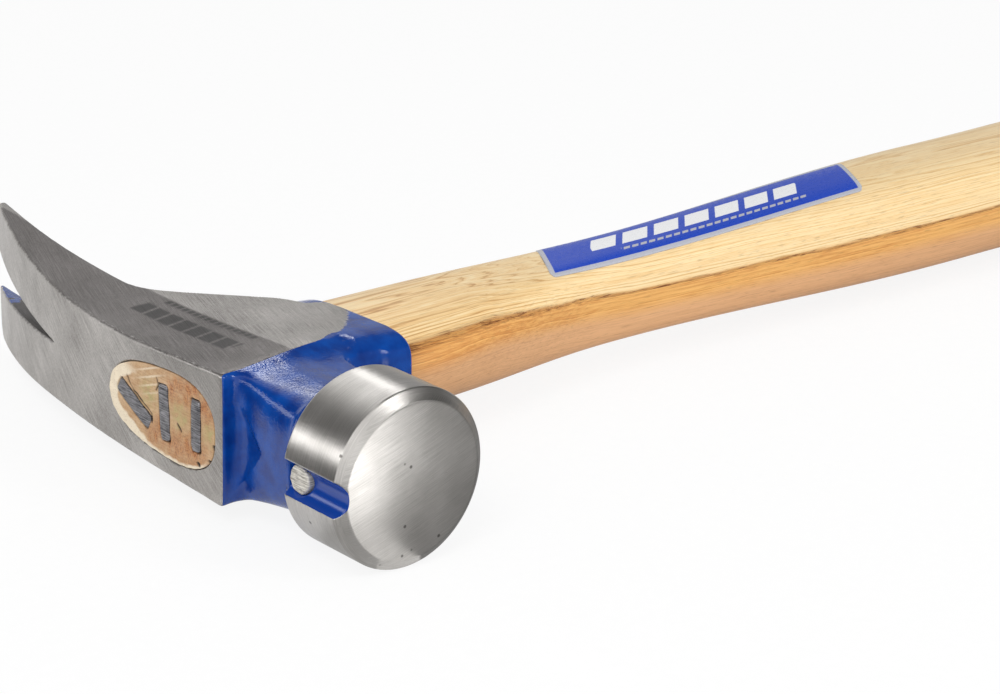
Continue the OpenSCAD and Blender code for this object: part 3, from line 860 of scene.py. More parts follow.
@dataclass
class Head:
    """Steel head: ground cheeks, top and claw, enamelled socket and neck, and the round poll. Sizes in mm."""

    front_at: float = 20.1
    front_half: float = 13.4
    waist_half: float = 11.45
    waist_from: float = 22.3
    waist_to: float = 33.3
    waist_blend: float = 3
    ground_edge: float = 0.8
    top_radius: float = 212
    top_flat: float = 1
    tip_at: float = 95
    tip_half: float = 15.9
    tip_round: float = 5
    tip_thickness: float = 3.3
    claw_thickness: float = 18.2
    under_at: float = 53.3
    root_at: float = 33.9
    root_slope: float = math.radians(48)
    root_round: float = 4.6
    cheek_round: float = 3.3
    cheek_length: float = 41
    ridge_at: float = 19.4
    ridge_lean: float = math.radians(2.4)
    skirt_length: float = 46.3
    rim_half_length: float = 20.4
    rim_half_width: float = 11.3
    rim_at: float = 0.9
    front_draft: float = math.radians(0.8)
    side_draft: float = math.radians(5.4)
    collar: float = 0.45
    collar_at: float = 38
    back_power: float = 2.4
    front_power: float = 6.2
    front_squarer: float = 6
    squarer_depth: float = 14
    eye_half_length: float = 17.6
    eye_half_width: float = 8.9
    eye_egg: float = 0.15
    slot_from: float = 45.8
    slot_half: float = 4.45
    slot_flare: float = 1.8
    slot_edge: float = 0.6
    eye_edge: float = 0.5
    eye_power: float = 2.5
    border_slope: float = 0.24
    border_at: float = -20.3
    skin_drop: float = 1.9
    skin_drop_low: float = 1.4
    skin_reach: float = 4.8
    skin_round: float = 1.1
    skirt_from: float = 32
    neck_half_depth: float = 12.6
    neck_half_width: float = 13.3
    neck_narrows: float = 1.9
    neck_dent: float = 0.6
    neck_fillet: float = 3.0
    neck_disk: float = 15.8
    dent_length: float = 7
    dent_half: float = 9.5
    axis: float = 16.5
    poll_back: float = 39.8
    poll_radius: float = 17.45
    poll_bevel: float = 2.1
    face_at: float = 56.5
    crown: float = 0.5
    groove_at: float = 18.7
    groove_radius: float = 3.9
    pocket_at: float = -42.9
    pocket_radius: float = 3.1
    pocket_depth: float = 2.2
    cell: float = 0.47
    coarse_cell: float = 0.9

    @property
    def fall(self) -> float:
        """How fast the half width falls from the front wall to the waist."""
        return (self.front_half - self.waist_half) / (self.waist_from + self.front_at)

    def lean(self, x: Array) -> Array:
        """How far the cheek has leant in at a depth below the ridge."""
        return np.maximum(x - self.ridge_at, 0) * math.tan(self.ridge_lean)

    def ground(self, x: Array, y: Array, z: Array) -> Array:
        """Distance outside the ground surfaces: top arc, cheeks with their ridge, and the tip's outline.

        The half width is the largest of a line that falls from the front wall, a line that rises
        to the tip and the waist. The top is a flat and a circle round a far centre below it.

        Args:
            x, y, z: Depth below the top, place along the head and height over the mid-plane.

        Returns:
            The distance, negative inside.
        """
        wide = np.abs(z)
        top = np.hypot(x - self.top_radius, np.maximum(y - self.top_flat, 0)) - self.top_radius
        corner_y, corner_z = self.tip_at - self.tip_round, self.tip_half - self.tip_round
        rise = (self.tip_half - self.waist_half) / (corner_y - self.waist_to)
        front = self.front_half - (y + self.front_at) * self.fall
        back = self.waist_half + (y - self.waist_to) * rise
        half = smooth_max(smooth_max(front, back, self.waist_blend), self.waist_half, 1)
        cheeks = wide - half + self.lean(x)
        tip = np.hypot(np.maximum(y - corner_y, 0), np.maximum(wide - corner_z, 0)) - self.tip_round
        both = smooth_max(smooth_max(top, cheeks, self.ground_edge), tip, self.ground_edge)
        # In front of the front wall nothing is ground
        return both - 1.5 * np.maximum(-y - self.front_at - 0.8, 0)

    def socket(self, x: Array, y: Array, z: Array) -> Array:
        """Distance outside the socket: a square front that turns oval towards the rim, with a raised collar.

        Args:
            x, y, z: Depth below the top, place along the head and height over the mid-plane.

        Returns:
            The distance, negative inside.
        """
        rise = self.skirt_length - x
        a = self.rim_half_length + rise * math.tan(self.front_draft)
        b = self.rim_half_width + rise * math.tan(self.side_draft)
        u = y - self.rim_at
        front = self.front_power + self.front_squarer * np.clip(1 - x / self.squarer_depth, 0, 1.2) ** 2
        power = np.where(u < 0, front, self.back_power)
        low_front = ease((x - self.collar_at) / 2.5) * ease((-y - 8) / 5)
        collar = self.collar * low_front * (1 - 0.7 * ease((np.abs(z) - 8) / 3))
        wall = oval_distance(u, z, a, b, power) - collar
        return smooth_max(wall, x - self.skirt_length, 1.2)

    def claw(self, x: Array, y: Array) -> Array:
        """Distance outside the side view of claw and cheeks: underside, sloping root and lower edge.

        Args:
            x, y: Depth below the top, and place along the head.

        Returns:
            The distance, negative inside.
        """
        reach = self.tip_at - self.under_at
        share = np.maximum(y - self.under_at, 0) / reach
        run = self.tip_at - self.tip_round - self.top_flat
        top = self.top_radius - math.sqrt(self.top_radius**2 - run**2)
        rise = top + self.tip_thickness - self.claw_thickness
        under = (x - self.claw_thickness - rise * share**2) / np.sqrt(1 + (2 * rise * share / reach) ** 2)
        down, back = math.cos(self.root_slope), math.sin(self.root_slope)
        root = (x - self.claw_thickness) * down + (y - self.root_at) * back
        block = smooth_max(root, x - self.cheek_length, self.cheek_round)
        return smooth_max(smooth_min(under, block, self.root_round), -y, 1)

    def neck(self, x: Array, y: Array, z: Array) -> Array:
        """Distance outside the neck: an oval, squarest at the front wall, with a flat pointed dent on top.

        Args:
            x, y, z: Depth below the top, place along the head and height over the mid-plane.

        Returns:
            The distance, negative inside.
        """
        depth = np.maximum(-self.front_at - y, 0)
        length = self.poll_back - self.front_at
        power = 4.2 + 8 * np.exp(-depth / 4)
        wide = self.neck_half_width - self.neck_narrows * np.clip(depth / length, 0, 1)
        tube = oval_distance(x - self.axis, z, self.neck_half_depth, wide, power)
        point = 1 - depth / self.dent_length - np.abs(z + 1) / self.dent_half
        dent = smooth_min(self.neck_dent, 2.4 * np.maximum(point, 0), 0.3) * (x < self.axis)
        disk = np.maximum(np.hypot(x - self.axis, z) - self.neck_disk, y + self.poll_back - 1.2)
        both = smooth_min(smooth_max(tube + dent, y + 12, 1), disk, 4)
        return smooth_max(both, -y - self.poll_back, 0.4)

    def forged(self, x: Array, y: Array, z: Array) -> Array:
        """Distance outside the forged skin: socket, claw block and neck, joined with small fillets.

        In front of the enamel's border the skin slopes away below the plane of the cheek, by
        drop times (1 - exp(-distance / reach)), down to the socket's collar.

        Args:
            x, y, z: Depth below the top, place along the head and height over the mid-plane.

        Returns:
            The distance, negative inside.
        """
        body = smooth_min(self.socket(x, y, z), self.claw(x, y), 1.2)
        border = self.border_slope * x + self.border_at
        ahead = np.maximum(border - y, 0)
        level = np.abs(z) - self.front_half + (y + self.front_at) * self.fall + self.lean(x)
        low = ease((x - self.skirt_from) / 5)
        drop = (self.skin_drop + self.skin_drop_low * ease((x - 14) / 10)) * (1 - low)
        skin = level + drop * (1 - np.exp(-ahead / self.skin_reach))
        skin = skin - 0.4 * np.maximum(y - border, 0) - 1.2 * low
        return smooth_max(smooth_min(body, self.neck(x, y, z), self.neck_fillet), skin, self.skin_round)

    def slot(self, x: Array, y: Array, z: Array) -> Array:
        """Distance outside the nail slot: a V in plan that is wider on the underside.

        Args:
            x, y, z: Depth below the top, place along the head and height over the mid-plane.

        Returns:
            The distance, negative inside the slot.
        """
        share = (y - self.slot_from) / (self.tip_at + 1 - self.slot_from)
        through = np.clip((x - 4 - 18 * share) / 14, 0, 1)
        half = self.slot_half * share + self.slot_flare * ease(np.minimum(1, 2 * share)) * through
        return np.abs(z) - half

    def eye(self, x: Array, y: Array, z: Array) -> Array:
        """Distance outside the eye, an egg-shaped oval that runs through the head."""
        width = self.eye_half_width * (1 - self.eye_egg * np.clip(y / self.eye_half_length, -1, 1))
        return oval_distance(y, z, self.eye_half_length, width, self.eye_power) + 0 * x

    def field(self, x: Array, y: Array, z: Array) -> Array:
        """Distance outside the whole forging: forged skin cut by the ground faces, the slot and the eye.

        Args:
            x, y, z: Depth below the top, place along the head and height over the mid-plane.

        Returns:
            The distance, negative inside.
        """
        solid = smooth_max(self.forged(x, y, z), self.ground(x, y, z), 0.7)
        slotted = smooth_max(solid, -self.slot(x, y, z), self.slot_edge)
        return smooth_max(slotted, -self.eye(x, y, z), self.eye_edge)

    def build_forging(self) -> Shell:
        """Meshes the forging and works out where it is enamelled and how it was ground.

        Returns:
            The shell, with the attributes paint, grind, edge, zone (painted shade on the cheeks) and stamp.
        """
        low, high = np.array([-1.2, -41.0, -18.3]), np.array([47.7, 96.5, 18.3])
        points, faces = surface_net(self.field, low, high, self.cell)
        points, normals = settled(self.field, points)
        x, y, z = points.T
        forged, ground, wall = self.forged(x, y, z), self.ground(x, y, z), -self.slot(x, y, z)
        # The walls of the slot are enamelled in patches, mostly near the tip
        patch = 0.5 * wave_noise(points, 2.5, 8) + 0.06 * (y - 78)
        skin = np.where(wall > np.maximum(forged, ground), np.clip(patch, -0.3, 0.3), forged - ground)
        # An edge is where a step inwards from the surface stays near it
        upper = ease((np.abs(z) - 10) / 1.2) * ease((4 - x + 0.0024 * y**2) / 1.5)
        run = ease((y + 19) / 3) * (0.25 + 0.75 * ease((48 - y) / 14))
        inwards = 0.9
        edge = (self.field(*(points - inwards * normals).T) / inwards + 1) * upper * run
        cheek = np.abs(normals[:, 2]) > 0.6
        # The lines slant one way on the cheeks and another on the top; a third number keeps them apart
        along = np.where(cheek, 0.34 * x + 0.94 * y, 0.8 * y + 0.6 * z)
        across = np.where(cheek, 0.94 * x - 0.34 * y, 0.6 * y - 0.8 * z)
        grind = np.stack([along, across, np.where(cheek, 50.0, 0.0)], -1)
        # Mask of painted shade on the cheeks: full above the ridge, a tenth of it below
        zone = cheek * (1 - 0.9 * ease((x - self.ridge_at + 0.3) / 0.6))
        values = {"paint": skin, "grind": grind, "edge": edge, "zone": zone, "stamp": self.stamps(x, y, z)}
        return Shell(points, faces, normals, values)

    def stamps(self, x: Array, y: Array, z: Array) -> Array:
        """Plain struck bars on the cheek: a row of seven and a row of short dashes.

        Args:
            x, y, z: Depth below the top, place along the head and height over the mid-plane.

        Returns:
            1 in a bar, falling to 0 over about 0.3 mm at its edge.
        """
        run, bar_pitch, dash_pitch, soft = 9.0 - y, 4.7, 1.9, 0.3
        pitch = np.abs(np.mod(run + 14 + 0.25 * x, bar_pitch) - bar_pitch / 2)
        big = np.minimum.reduce([2.0 - pitch, 16.5 - np.abs(run), 2.5 - np.abs(x - 12.2 + 0.02 * run)])
        step = np.abs(np.mod(run, dash_pitch) - dash_pitch / 2)
        small = np.minimum.reduce([0.7 - step, 15.0 - np.abs(run), 0.85 - np.abs(x - 18.2)])
        return np.where(z > 8, np.clip(np.maximum(big, small) / soft + 0.5, 0, 1), 0.0)

    def build_poll(self) -> Shell:
        """Surface round the axis of the poll: back, round side, bevel and crowned face.

        The radius at each angle is the smaller of the profile and the groove's cylinder, and a
        pocket round the magnet is pressed into it.

        Returns:
            The shell, with the attributes paint, grind and marks.
        """
        back, face, r = -self.poll_back, -self.face_at, self.poll_radius
        bevel_r, bevel_y = r - self.poll_bevel, face + 2
        back_rows, side_rows, bevel_rows, face_rows, corner = 8, 118, 14, 34, 0.5
        bend = np.linspace(0.2, np.pi / 2, 7)
        inwards = np.linspace(1, 0, face_rows)
        y_row = np.concatenate([
            np.full(back_rows, back), back - corner * (1 - np.cos(bend)),
            np.linspace(back - 0.55, bevel_y + 0.3, side_rows),
            np.linspace(bevel_y + 0.15, face + 0.62, bevel_rows), face + self.crown * inwards**2])
        r_row = np.concatenate([
            np.linspace(0, r - 0.6, back_rows), r - corner + corner * np.sin(bend),
            np.full(side_rows, r), np.linspace(r - 0.08, bevel_r + 0.1, bevel_rows), bevel_r * inwards])
        angle = self._columns()[None, :]
        # Where a ray from the axis meets the groove's cylinder
        inside = np.maximum(self.groove_radius**2 - (self.groove_at * np.sin(angle)) ** 2, 0)
        hit = self.groove_at * np.cos(angle) - np.sqrt(inside)
        hit = np.where((inside > 0) & (np.cos(angle) > 0), hit, 30)
        rho = r_row[:, None] + 0 * angle
        radius = smooth_min(rho, hit, 0.35)
        y_grid = y_row[:, None] + 0 * angle
        away = np.hypot(y_grid - self.pocket_at, radius * np.sin(angle))
        near = (np.cos(angle) > 0) & (r_row[:, None] > 14)
        radius = radius - self.pocket_depth * ease((self.pocket_radius - away) / 0.3) * near
        x, z = self.axis - radius * np.cos(angle), radius * np.sin(angle)
        # The last rows of the bevel are ground with the face
        on_face = (np.arange(len(y_row)) >= len(y_row) - face_rows - 6)[:, None]
        along = np.where(on_face, 0.95 * x + 0.32 * z, angle * r)
        across = np.where(on_face, 0.32 * x - 0.95 * z, y_grid)
        grind = np.stack([along, across, 0 * along + 9.0 * on_face], -1)
        face_marks, side_marks = np.array([-0.32, 0.0, 0.95]), np.array([0.0, 1.0, 0.0])
        marks = np.where(on_face[..., None], face_marks, side_marks) + 0 * grind
        values = {"paint": rho - hit, "grind": grind, "marks": marks}
        return ring_shell(np.stack([x, y_grid, z], -1), values)

    def _columns(self) -> Array:
        """Angles round the poll from the -X side, close together over the groove."""
        half = 0.28
        return np.concatenate([np.linspace(-half, half, 90), np.linspace(half, 2 * np.pi - half, 190)[1:-1]])

    def add(self) -> list[bpy.types.Object]:
        """Adds the forging and the poll, each in its finish.

        Returns:
            The pieces.
        """
        skin, turned = GroundSteelWithEnamel().material(), TurnedSteel().material()
        return [add_piece("head_forging", self.build_forging(), skin, "head"),
                add_piece("head_poll", self.build_poll(), turned, "head")]


@dataclass
class Magnet:
    """Round magnet that holds a nail, set in the groove of the poll. Sizes in mm."""

    at: float = -42.9
    top: float = 0.4
    radius: float = 2.8
    height: float = 4
    rounding: float = 0.5

    def build(self) -> Shell:
        """Turned surface about an axis along X, with a chipped, rounded edge.

        Returns:
            The shell.
        """
        turn = np.linspace(0, 2 * np.pi, 120, endpoint=False)
        bend, top_rows, side_rows, back_rows = np.linspace(0, np.pi / 2, 10), 24, 6, 5
        flat, bottom = self.radius - self.rounding, self.top + self.height
        r_row = np.concatenate([
            np.linspace(0, flat, top_rows), flat + self.rounding * np.sin(bend),
            np.full(side_rows, self.radius), np.linspace(self.radius, 0, back_rows)])
        x_row = np.concatenate([
            np.full(top_rows, self.top), self.top + self.rounding * (1 - np.cos(bend)),
            np.linspace(self.top + 0.7, bottom - 0.2, side_rows), np.full(back_rows, bottom)])
        y = self.at + r_row[:, None] * np.cos(turn)
        z = r_row[:, None] * np.sin(turn)
        x = x_row[:, None] + 0 * turn
        rough = wave_noise(np.stack([y, z], -1), 0.9, 5)
        x = x + (0.12 * rough + 0.1) * (x < self.top + 0.6)
        return ring_shell(np.stack([x, y, z], -1))

    def add(self) -> list[bpy.types.Object]:
        """Adds the magnet in a pale mottled alloy."""
        alloy = GroundIron("magnet_alloy", "#8d8880", "#ebe7dd", 0.5, 0.3).material()
        return [add_piece("magnet_disc", self.build(), alloy, "magnet")]


@dataclass(frozen=True)
class WedgeSize:
    """Place, size and slant of a wedge at the top of the eye, in mm and degrees, and its seed."""

    at_y: float
    at_z: float
    length: float
    thickness: float
    slant: float
    seed: int


class Wedge(Enum):
    """The three steel wedges of the eye."""

    REAR = WedgeSize(9.152, -1.068, 11.5, 3.4, 27.6, 27)
    MIDDLE = WedgeSize(-1.056, 0.0, 11.3, 3.1, 86.0, 86)
    FRONT = WedgeSize(-11.44, 0.534, 10.6, 2.9, 90.0, 90)

    def distance(self, y: Array, z: Array) -> Array:
        """Distance outside the top of the wedge, a rectangle with rounded corners, seen along X.

        Args:
            y: First coordinates.
            z: Second coordinates.

        Returns:
            The distance in mm, negative inside.
        """
        size, turn, rounding = self.value, math.radians(self.value.slant), 0.5
        along = (y - size.at_y) * math.cos(turn) + (z - size.at_z) * math.sin(turn)
        across = -(y - size.at_y) * math.sin(turn) + (z - size.at_z) * math.cos(turn)
        p = np.abs(along) - size.length / 2 + rounding
        q = np.abs(across) - size.thickness / 2 + rounding
        return np.hypot(np.maximum(p, 0), np.maximum(q, 0)) + np.minimum(np.maximum(p, q), 0) - rounding

    def build(self) -> Shell:
        """Rounded rectangle that thins towards its driven end, with a rough ground top.

        Returns:
            The shell.
        """
        size, turn, depth, tip = self.value, angles(160), 24, 0.8
        top_rows, side_rows, end_rows = 14, 8, 3
        c, s = np.cos(turn), np.sin(turn)
        x_row = np.concatenate([np.zeros(top_rows), [0.12, 0.4], np.linspace(1, depth, side_rows),
                                np.full(end_rows, depth)])
        scale = np.concatenate([np.linspace(0, 0.94, top_rows), [0.985], np.ones(side_rows + 1),
                                np.linspace(0.9, 0, end_rows)])
        thin = size.thickness + (tip - size.thickness) * np.clip(x_row / depth, 0, 1)
        wobble = 1 + 0.05 * wave_noise(np.stack([3 * c, 3 * s], -1), 2, size.seed)
        along = size.length / 2 * bent(c, 0.3) * scale[:, None] * wobble
        across = thin[:, None] / 2 * bent(s, 0.3) * scale[:, None] * wobble
        angle = math.radians(size.slant)
        y = size.at_y + along * math.cos(angle) - across * math.sin(angle)
        z = size.at_z + along * math.sin(angle) + across * math.cos(angle)
        rough = 0.05 * wave_noise(np.stack([y, z], -1), 1.2, 11) + 0.02
        x = x_row[:, None] + rough * (x_row < 0.5)[:, None]
        return ring_shell(np.stack([x, y, z], -1))

    @classmethod
    def add(cls) -> list[bpy.types.Object]:
        """Adds the three wedges in the same dark ground steel.

        Returns:
            The pieces.
        """
        iron, slot = GroundIron("ground_wedge_steel", "#555458", "#a5a4a7").material(), "wedge_steel"
        sides = {wedge.name.lower(): wedge for wedge in cls}
        return [add_piece(f"{slot}_{side}", wedge.build(), iron, f"wedge_{side}")
                for side, wedge in sides.items()]


@dataclass
class Handle:
    """Hickory handle with its tang in the eye. Sizes in mm."""

    length: float = 406
    butt_round: float = 6
    shoulder_at: float = 46.3
    tang_half_width: float = 17.5
    tang_half_depth: float = 8.8
    tang_egg: float = 0.15
    tang_power: float = 2.5
    places: tuple[float, ...] = (46.3, 115, 235, 304, 388)
    half_widths: tuple[float, ...] = (19.2, 11.0, 17.0, 19.7, 20.75)
    half_depths: tuple[float, ...] = (10.0, 9.9, 13.2, 13.0, 14.5)
    offsets: tuple[float, ...] = (1.6, 3.3, 4.5, 4.8, -1.0)
    powers: tuple[float, ...] = (2.4, 4.0, 2.9, 2.9, 2.9)
    line_places: tuple[float, ...] = (50, 74, 100, 118, 140, 180, 240)
    line_heights: tuple[float, ...] = (3.9, 4.3, 2.3, 0.8, 0.2, -0.2, -0.4)
    # Each crack has a width, and corners (y, z)
    cracks: tuple[tuple[float, tuple[tuple[float, float], ...]], ...] = (
        (0.32, ((11.5, 3.9), (9.2, 1.5), (7.0, 0.5), (3.1, -1.4), (3.2, -3.3))),
        (0.42, ((-5.6, -0.9), (-6.5, -2.1))),
        (0.26, ((1.4, 6.4), (0.9, 5.2), (1.6, 3.9))),
        (0.6, ((-17.3, -1.9), (-17.5, -2.1))),
        (0.55, ((-12.1, -6.9), (-12.4, -7.1))),
        (0.55, ((-15.7, -5.2), (-16.1, -5.3))),
    )
    # Each spot is (y, z, radius)
    brown_spots: tuple[Place, ...] = (
        (-9.1, 7.0, 3.6), (-14.6, 4.6, 3.8), (-11.0, -5.2, 4.2), (2.6, -5.6, 2.2), (-3.4, -6.0, 2.8),
        (0.9, -2.6, 1.6), (-7.6, -4.4, 2.4), (-4.6, 5.4, 2.6),
    )
    olive_spots: tuple[Place, ...] = ((4.2, 2.4, 2.7), (-6.4, 0.9, 2.6), (-15.8, 0.2, 2.0))
    sawn_spots: tuple[Place, ...] = ((3.5, 6.6, 4.2),)

    def section(self, x: Array) -> Array:
        """Half width, half depth, offset and exponent of the section, each eased between the stations.

        Args:
            x: Places along the handle.

        Returns:
            Four rows, with one value for each place.
        """
        at = np.array(self.places)
        i = np.clip(np.searchsorted(at, x, side="right") - 1, 0, len(at) - 2)
        share = ease((x - at[i]) / (at[i + 1] - at[i]))
        lists = (self.half_widths, self.half_depths, self.offsets, self.powers)
        return np.stack([np.array(v)[i] * (1 - share) + np.array(v)[i + 1] * share for v in lists])

    def above(self, x: Array, y: Array) -> Array:
        """Height Z of the upper side of the handle: b (1 - |(y - offset) / a|^n)^(1 / n).

        Args:
            x: Places along the handle.
            y: Places across it.

        Returns:
            The heights.
        """
        a, b, offset, power = self.section(x)
        u = np.minimum(np.abs(y - offset) / a, 0.97)
        return b * (1 - u**power) ** (1 / power)

    def build_shaft(self) -> Shell:
        """Rings of superellipses along X: tang, shoulder, waist, swell, grip, knob and rounded butt.

        Returns:
            The shell, with the attributes ring, grain and socket.
        """
        end, shoulder, top = self.length - self.butt_round, self.shoulder_at, 1.2
        bend, cap_rows = np.linspace(0, np.pi / 2, 14), 8
        x_row = np.concatenate([
            [top, top], np.linspace(top, shoulder - 0.1, 14), [shoulder + 0.12],
            np.arange(shoulder + 0.2, end, 1.5), end + self.butt_round * np.sin(bend),
            np.full(cap_rows, self.length)])
        a, b, offset, power = self.section(np.maximum(x_row, shoulder))
        shrink = np.concatenate([np.zeros(len(x_row) - len(bend) - cap_rows),
                                 self.butt_round * (1 - np.cos(bend)), np.full(cap_rows, self.butt_round)])
        scale = np.ones(len(x_row))
        scale[-cap_rows:] = np.linspace(0.97, 0, cap_rows)
        scale[0] = 0
        tang = x_row < shoulder
        a = np.where(tang, self.tang_half_width, a - shrink) * scale
        b = np.where(tang, self.tang_half_depth, b - shrink) * scale
        offset, power = np.where(tang, 0, offset), np.where(tang, self.tang_power, power)
        egg = np.where(tang, self.tang_egg, 0.0)[:, None]
        turn = angles(176)[None, :]
        u, v = bent(np.cos(turn), 2 / power[:, None]), bent(np.sin(turn), 2 / power[:, None])
        y = offset[:, None] + a[:, None] * u
        z = b[:, None] * (1 - egg * u) * v
        grid = np.stack([x_row[:, None] + 0 * y, y, z], -1)
        # The growth rings lie level, lean a little, and follow the dark line's height
        rise = np.interp(x_row, self.line_places, self.line_heights)
        ring = z - rise[:, None] + 0.12 * (y + 10)
        near_socket = ease((112 - x_row) / 50)[:, None] + 0 * y
        return ring_shell(grid, {"ring": ring, "grain": grid, "socket": near_socket})

    def build_end_grain(self) -> Shell:
        """Height field over the oval of the eye, with kerfs and cracks, closed by a skirt and a floor.

        Returns:
            The shell, with the attributes gap (kerfs and cracks, painted nearly black as shade), patch and
            saw.
        """
        turn, top_rows = angles(480), 84
        share = np.concatenate([np.linspace(0, 1, top_rows), [1, 1], np.linspace(0.9, 0, 4)])
        u, v = bent(np.cos(turn), 0.8), bent(np.sin(turn), 0.8)
        half_depth = self.tang_half_depth * (1 - self.tang_egg * u)
        y = self.tang_half_width * u * share[:, None]
        z = half_depth * v * share[:, None]
        here = np.stack([y, z], -1)
        # Kerfs open round the wedges, and cracks beside them; both dip a little and carry painted shade
        kerf = np.zeros_like(y)
        for wedge in Wedge:
            kerf = np.maximum(kerf, ease((0.3 - wedge.distance(y, z)) / 0.3))
        gap = kerf
        for wide, path in self.cracks:
            ragged = wide * (1 + 0.25 * wave_noise(here, 1.5, 14))
            gap = np.maximum(gap, ease((ragged - path_distance(y, z, path)) / 0.25))
        rim = -oval_distance(y, z, self.tang_half_width, half_depth, self.tang_power)
        # Cream sapwood at the rim, brown and olive patches inside, and saw strokes in one spot
        mottle = wave_noise(here, 1.6, 4)
        cream_width = 0.9 + 2.0 * ease((y - 2) / 10)
        cream = ease((cream_width + 0.22 * mottle - rim) / 0.7) * ease((y - 2 * z + 6) / 8)
        brown = self._blobs(self.brown_spots, y, z) * (0.75 + 0.45 * mottle)
        olive = self._blobs(self.olive_spots, y, z) * (0.7 + 0.5 * wave_noise(here, 1.1, 6))
        strokes = ease((np.sin((0.33 * y + 0.94 * z) * 3.9) - 0.55) / 0.35)
        saw = 0.7 * strokes * self._blobs(self.sawn_spots, y, z)
        patch = np.clip(np.stack([cream, brown * (1 - cream), olive], -1), 0, 1)
        # Depth of the rough top, then of the skirt and the floor
        x = 0.05 + 0.06 * wave_noise(here, 1.4, 3) + 0.05 * mottle + 0.6 * kerf + 0.3 * gap
        x[top_rows : top_rows + 2] = np.array([0.6, 1.6])[:, None]
        x[top_rows + 2 :] = 1.6
        gap = gap * (np.arange(len(share)) < top_rows)[:, None]
        return ring_shell(np.stack([x, y, z], -1), {"gap": gap, "patch": patch, "saw": saw})

    def _blobs(self, spots: tuple[Place, ...], y: Array, z: Array) -> Array:
        """Soft round patches: 1 - product of (1 - exp(-(distance / radius)^2)).

        Args:
            spots: Place (y, z) and radius of each patch.
            y: First coordinates.
            z: Second coordinates.

        Returns:
            1 in a patch, falling to 0 away from it.
        """
        bare = np.ones_like(y)
        for at_y, at_z, radius in spots:
            bare = bare * (1 - np.exp(-((y - at_y) ** 2 + (z - at_z) ** 2) / radius**2))
        return 1 - bare

    def add(self) -> list[bpy.types.Object]:
        """Adds the shaft and the end grain, each in its finish.

        Returns:
            The pieces.
        """
        varnished, sawn = VarnishedHickory().material(), EndGrain().material()
        return [add_piece("handle_shaft", self.build_shaft(), varnished, "handle"),
                add_piece("handle_end_grain", self.build_end_grain(), sawn, "handle")]


@dataclass
class Label:
    """Foil label that lies on the upper side of the handle. Sizes in mm."""

    handle: Handle
    at_x: float = 96.4
    at_y: float = -5.1
    length: float = 100.0
    width: float = 18.2
    corner: float = 1.6
    slant: float = 11.5
    climb: float = 0.001
    under: float = 0.05
    over: float = 0.2

    def build(self) -> Shell:
        """Thin sheet that follows the handle, with slanted rounded ends.

        Each ring goes across the label under it and back over it: the place is (t, s), with t
        from end to end and s from edge to edge.

        Returns:
            The shell, with the attribute place.
        """
        rows, columns = 150, 40
        t = np.concatenate([[0], np.linspace(0, 1, rows), [1]])
        inset = np.maximum(self.corner - np.minimum(t, 1 - t) * self.length, 0)
        cut = (self.corner - np.sqrt(np.maximum(self.corner**2 - inset**2, 0))) / self.width
        across = np.linspace(0, 1, columns)
        s = cut[:, None] + (1 - 2 * cut[:, None]) * np.concatenate([across, across[::-1]])
        lift = np.repeat([self.under, self.over], columns)
        t = t[:, None]
        x = self.at_x + t * self.length + s * self.slant
        y = self.at_y + s * self.width + t * self.length * self.climb
        rings = np.stack([x, y, self.handle.above(x, y) + lift], -1)
        rings[0] = rings[1].mean(0)
        rings[-1] = rings[-2].mean(0)
        border = np.minimum(np.minimum(s, 1 - s) * self.width, np.minimum(t, 1 - t) * self.length)
        place = np.stack([t * self.length + 0 * s, s * self.width + 0 * t, border], -1)
        return ring_shell(rings, {"place": place})

    def add(self) -> list[bpy.types.Object]:
        """Adds the label in its printed foil."""
        return [add_piece("foil_label", self.build(), PrintedFoil().material(), "label")]


@dataclass(frozen=True)
class Card:
    """A glowing square that only shows as a reflection on the hammer. Places in metres.

    Its tone is 1 for white. Lying is the turn about Z, in radians, of a card that lies flat on
    the floor; a card without it faces the head.
    """

    name: str
    at: Place
    size: float
    tone: float
    lying: float | None = None


@dataclass(frozen=True)
class Lamp:
    """A square soft lamp that faces the head. Places in metres, power in watts."""

    name: str
    at: Place
    size: float
    power: float


def facing(at: Place, target: Place) -> tuple[Array, Array, Array]:
    """Axes of a square that faces a target and stands level.

    Args:
        at: Middle of the square.
        target: What it faces.

    Returns:
        Unit vectors to its side, up along it, and away from the target.
    """
    away = np.array(at) - np.array(target)
    away /= np.linalg.norm(away)
    side = np.cross([0, 0, 1], away)
    side /= np.linalg.norm(side)
    return side, np.cross(away, side), away


def standing(at: Place, axes: tuple[Array, Array, Array]) -> Matrix:
    """Matrix of an object that stands at a place with its own X, Y and Z along three axes."""
    return Matrix.Translation(at) @ Matrix(np.stack(axes, 1).tolist()).to_4x4()


def seen_rays(m: NodeTree) -> tuple[bpy.types.NodeSocket, bpy.types.Node]:
    """Tells rays that show a surface, straight or by a mirror or glass, from rays that only light.

    Args:
        m: The node tree.

    Returns:
        1 for a ray from the camera, and 1 for any ray that shows the surface.
    """
    path, kinds = m.add("LightPath"), ("Camera", "Glossy", "Transmission")
    camera, glossy, through = (path.outputs[f"Is {kind} Ray"] for kind in kinds)
    seen = m.add("Math", camera, glossy, operation="MAXIMUM")
    return camera, m.add("Math", seen, through, operation="MAXIMUM")


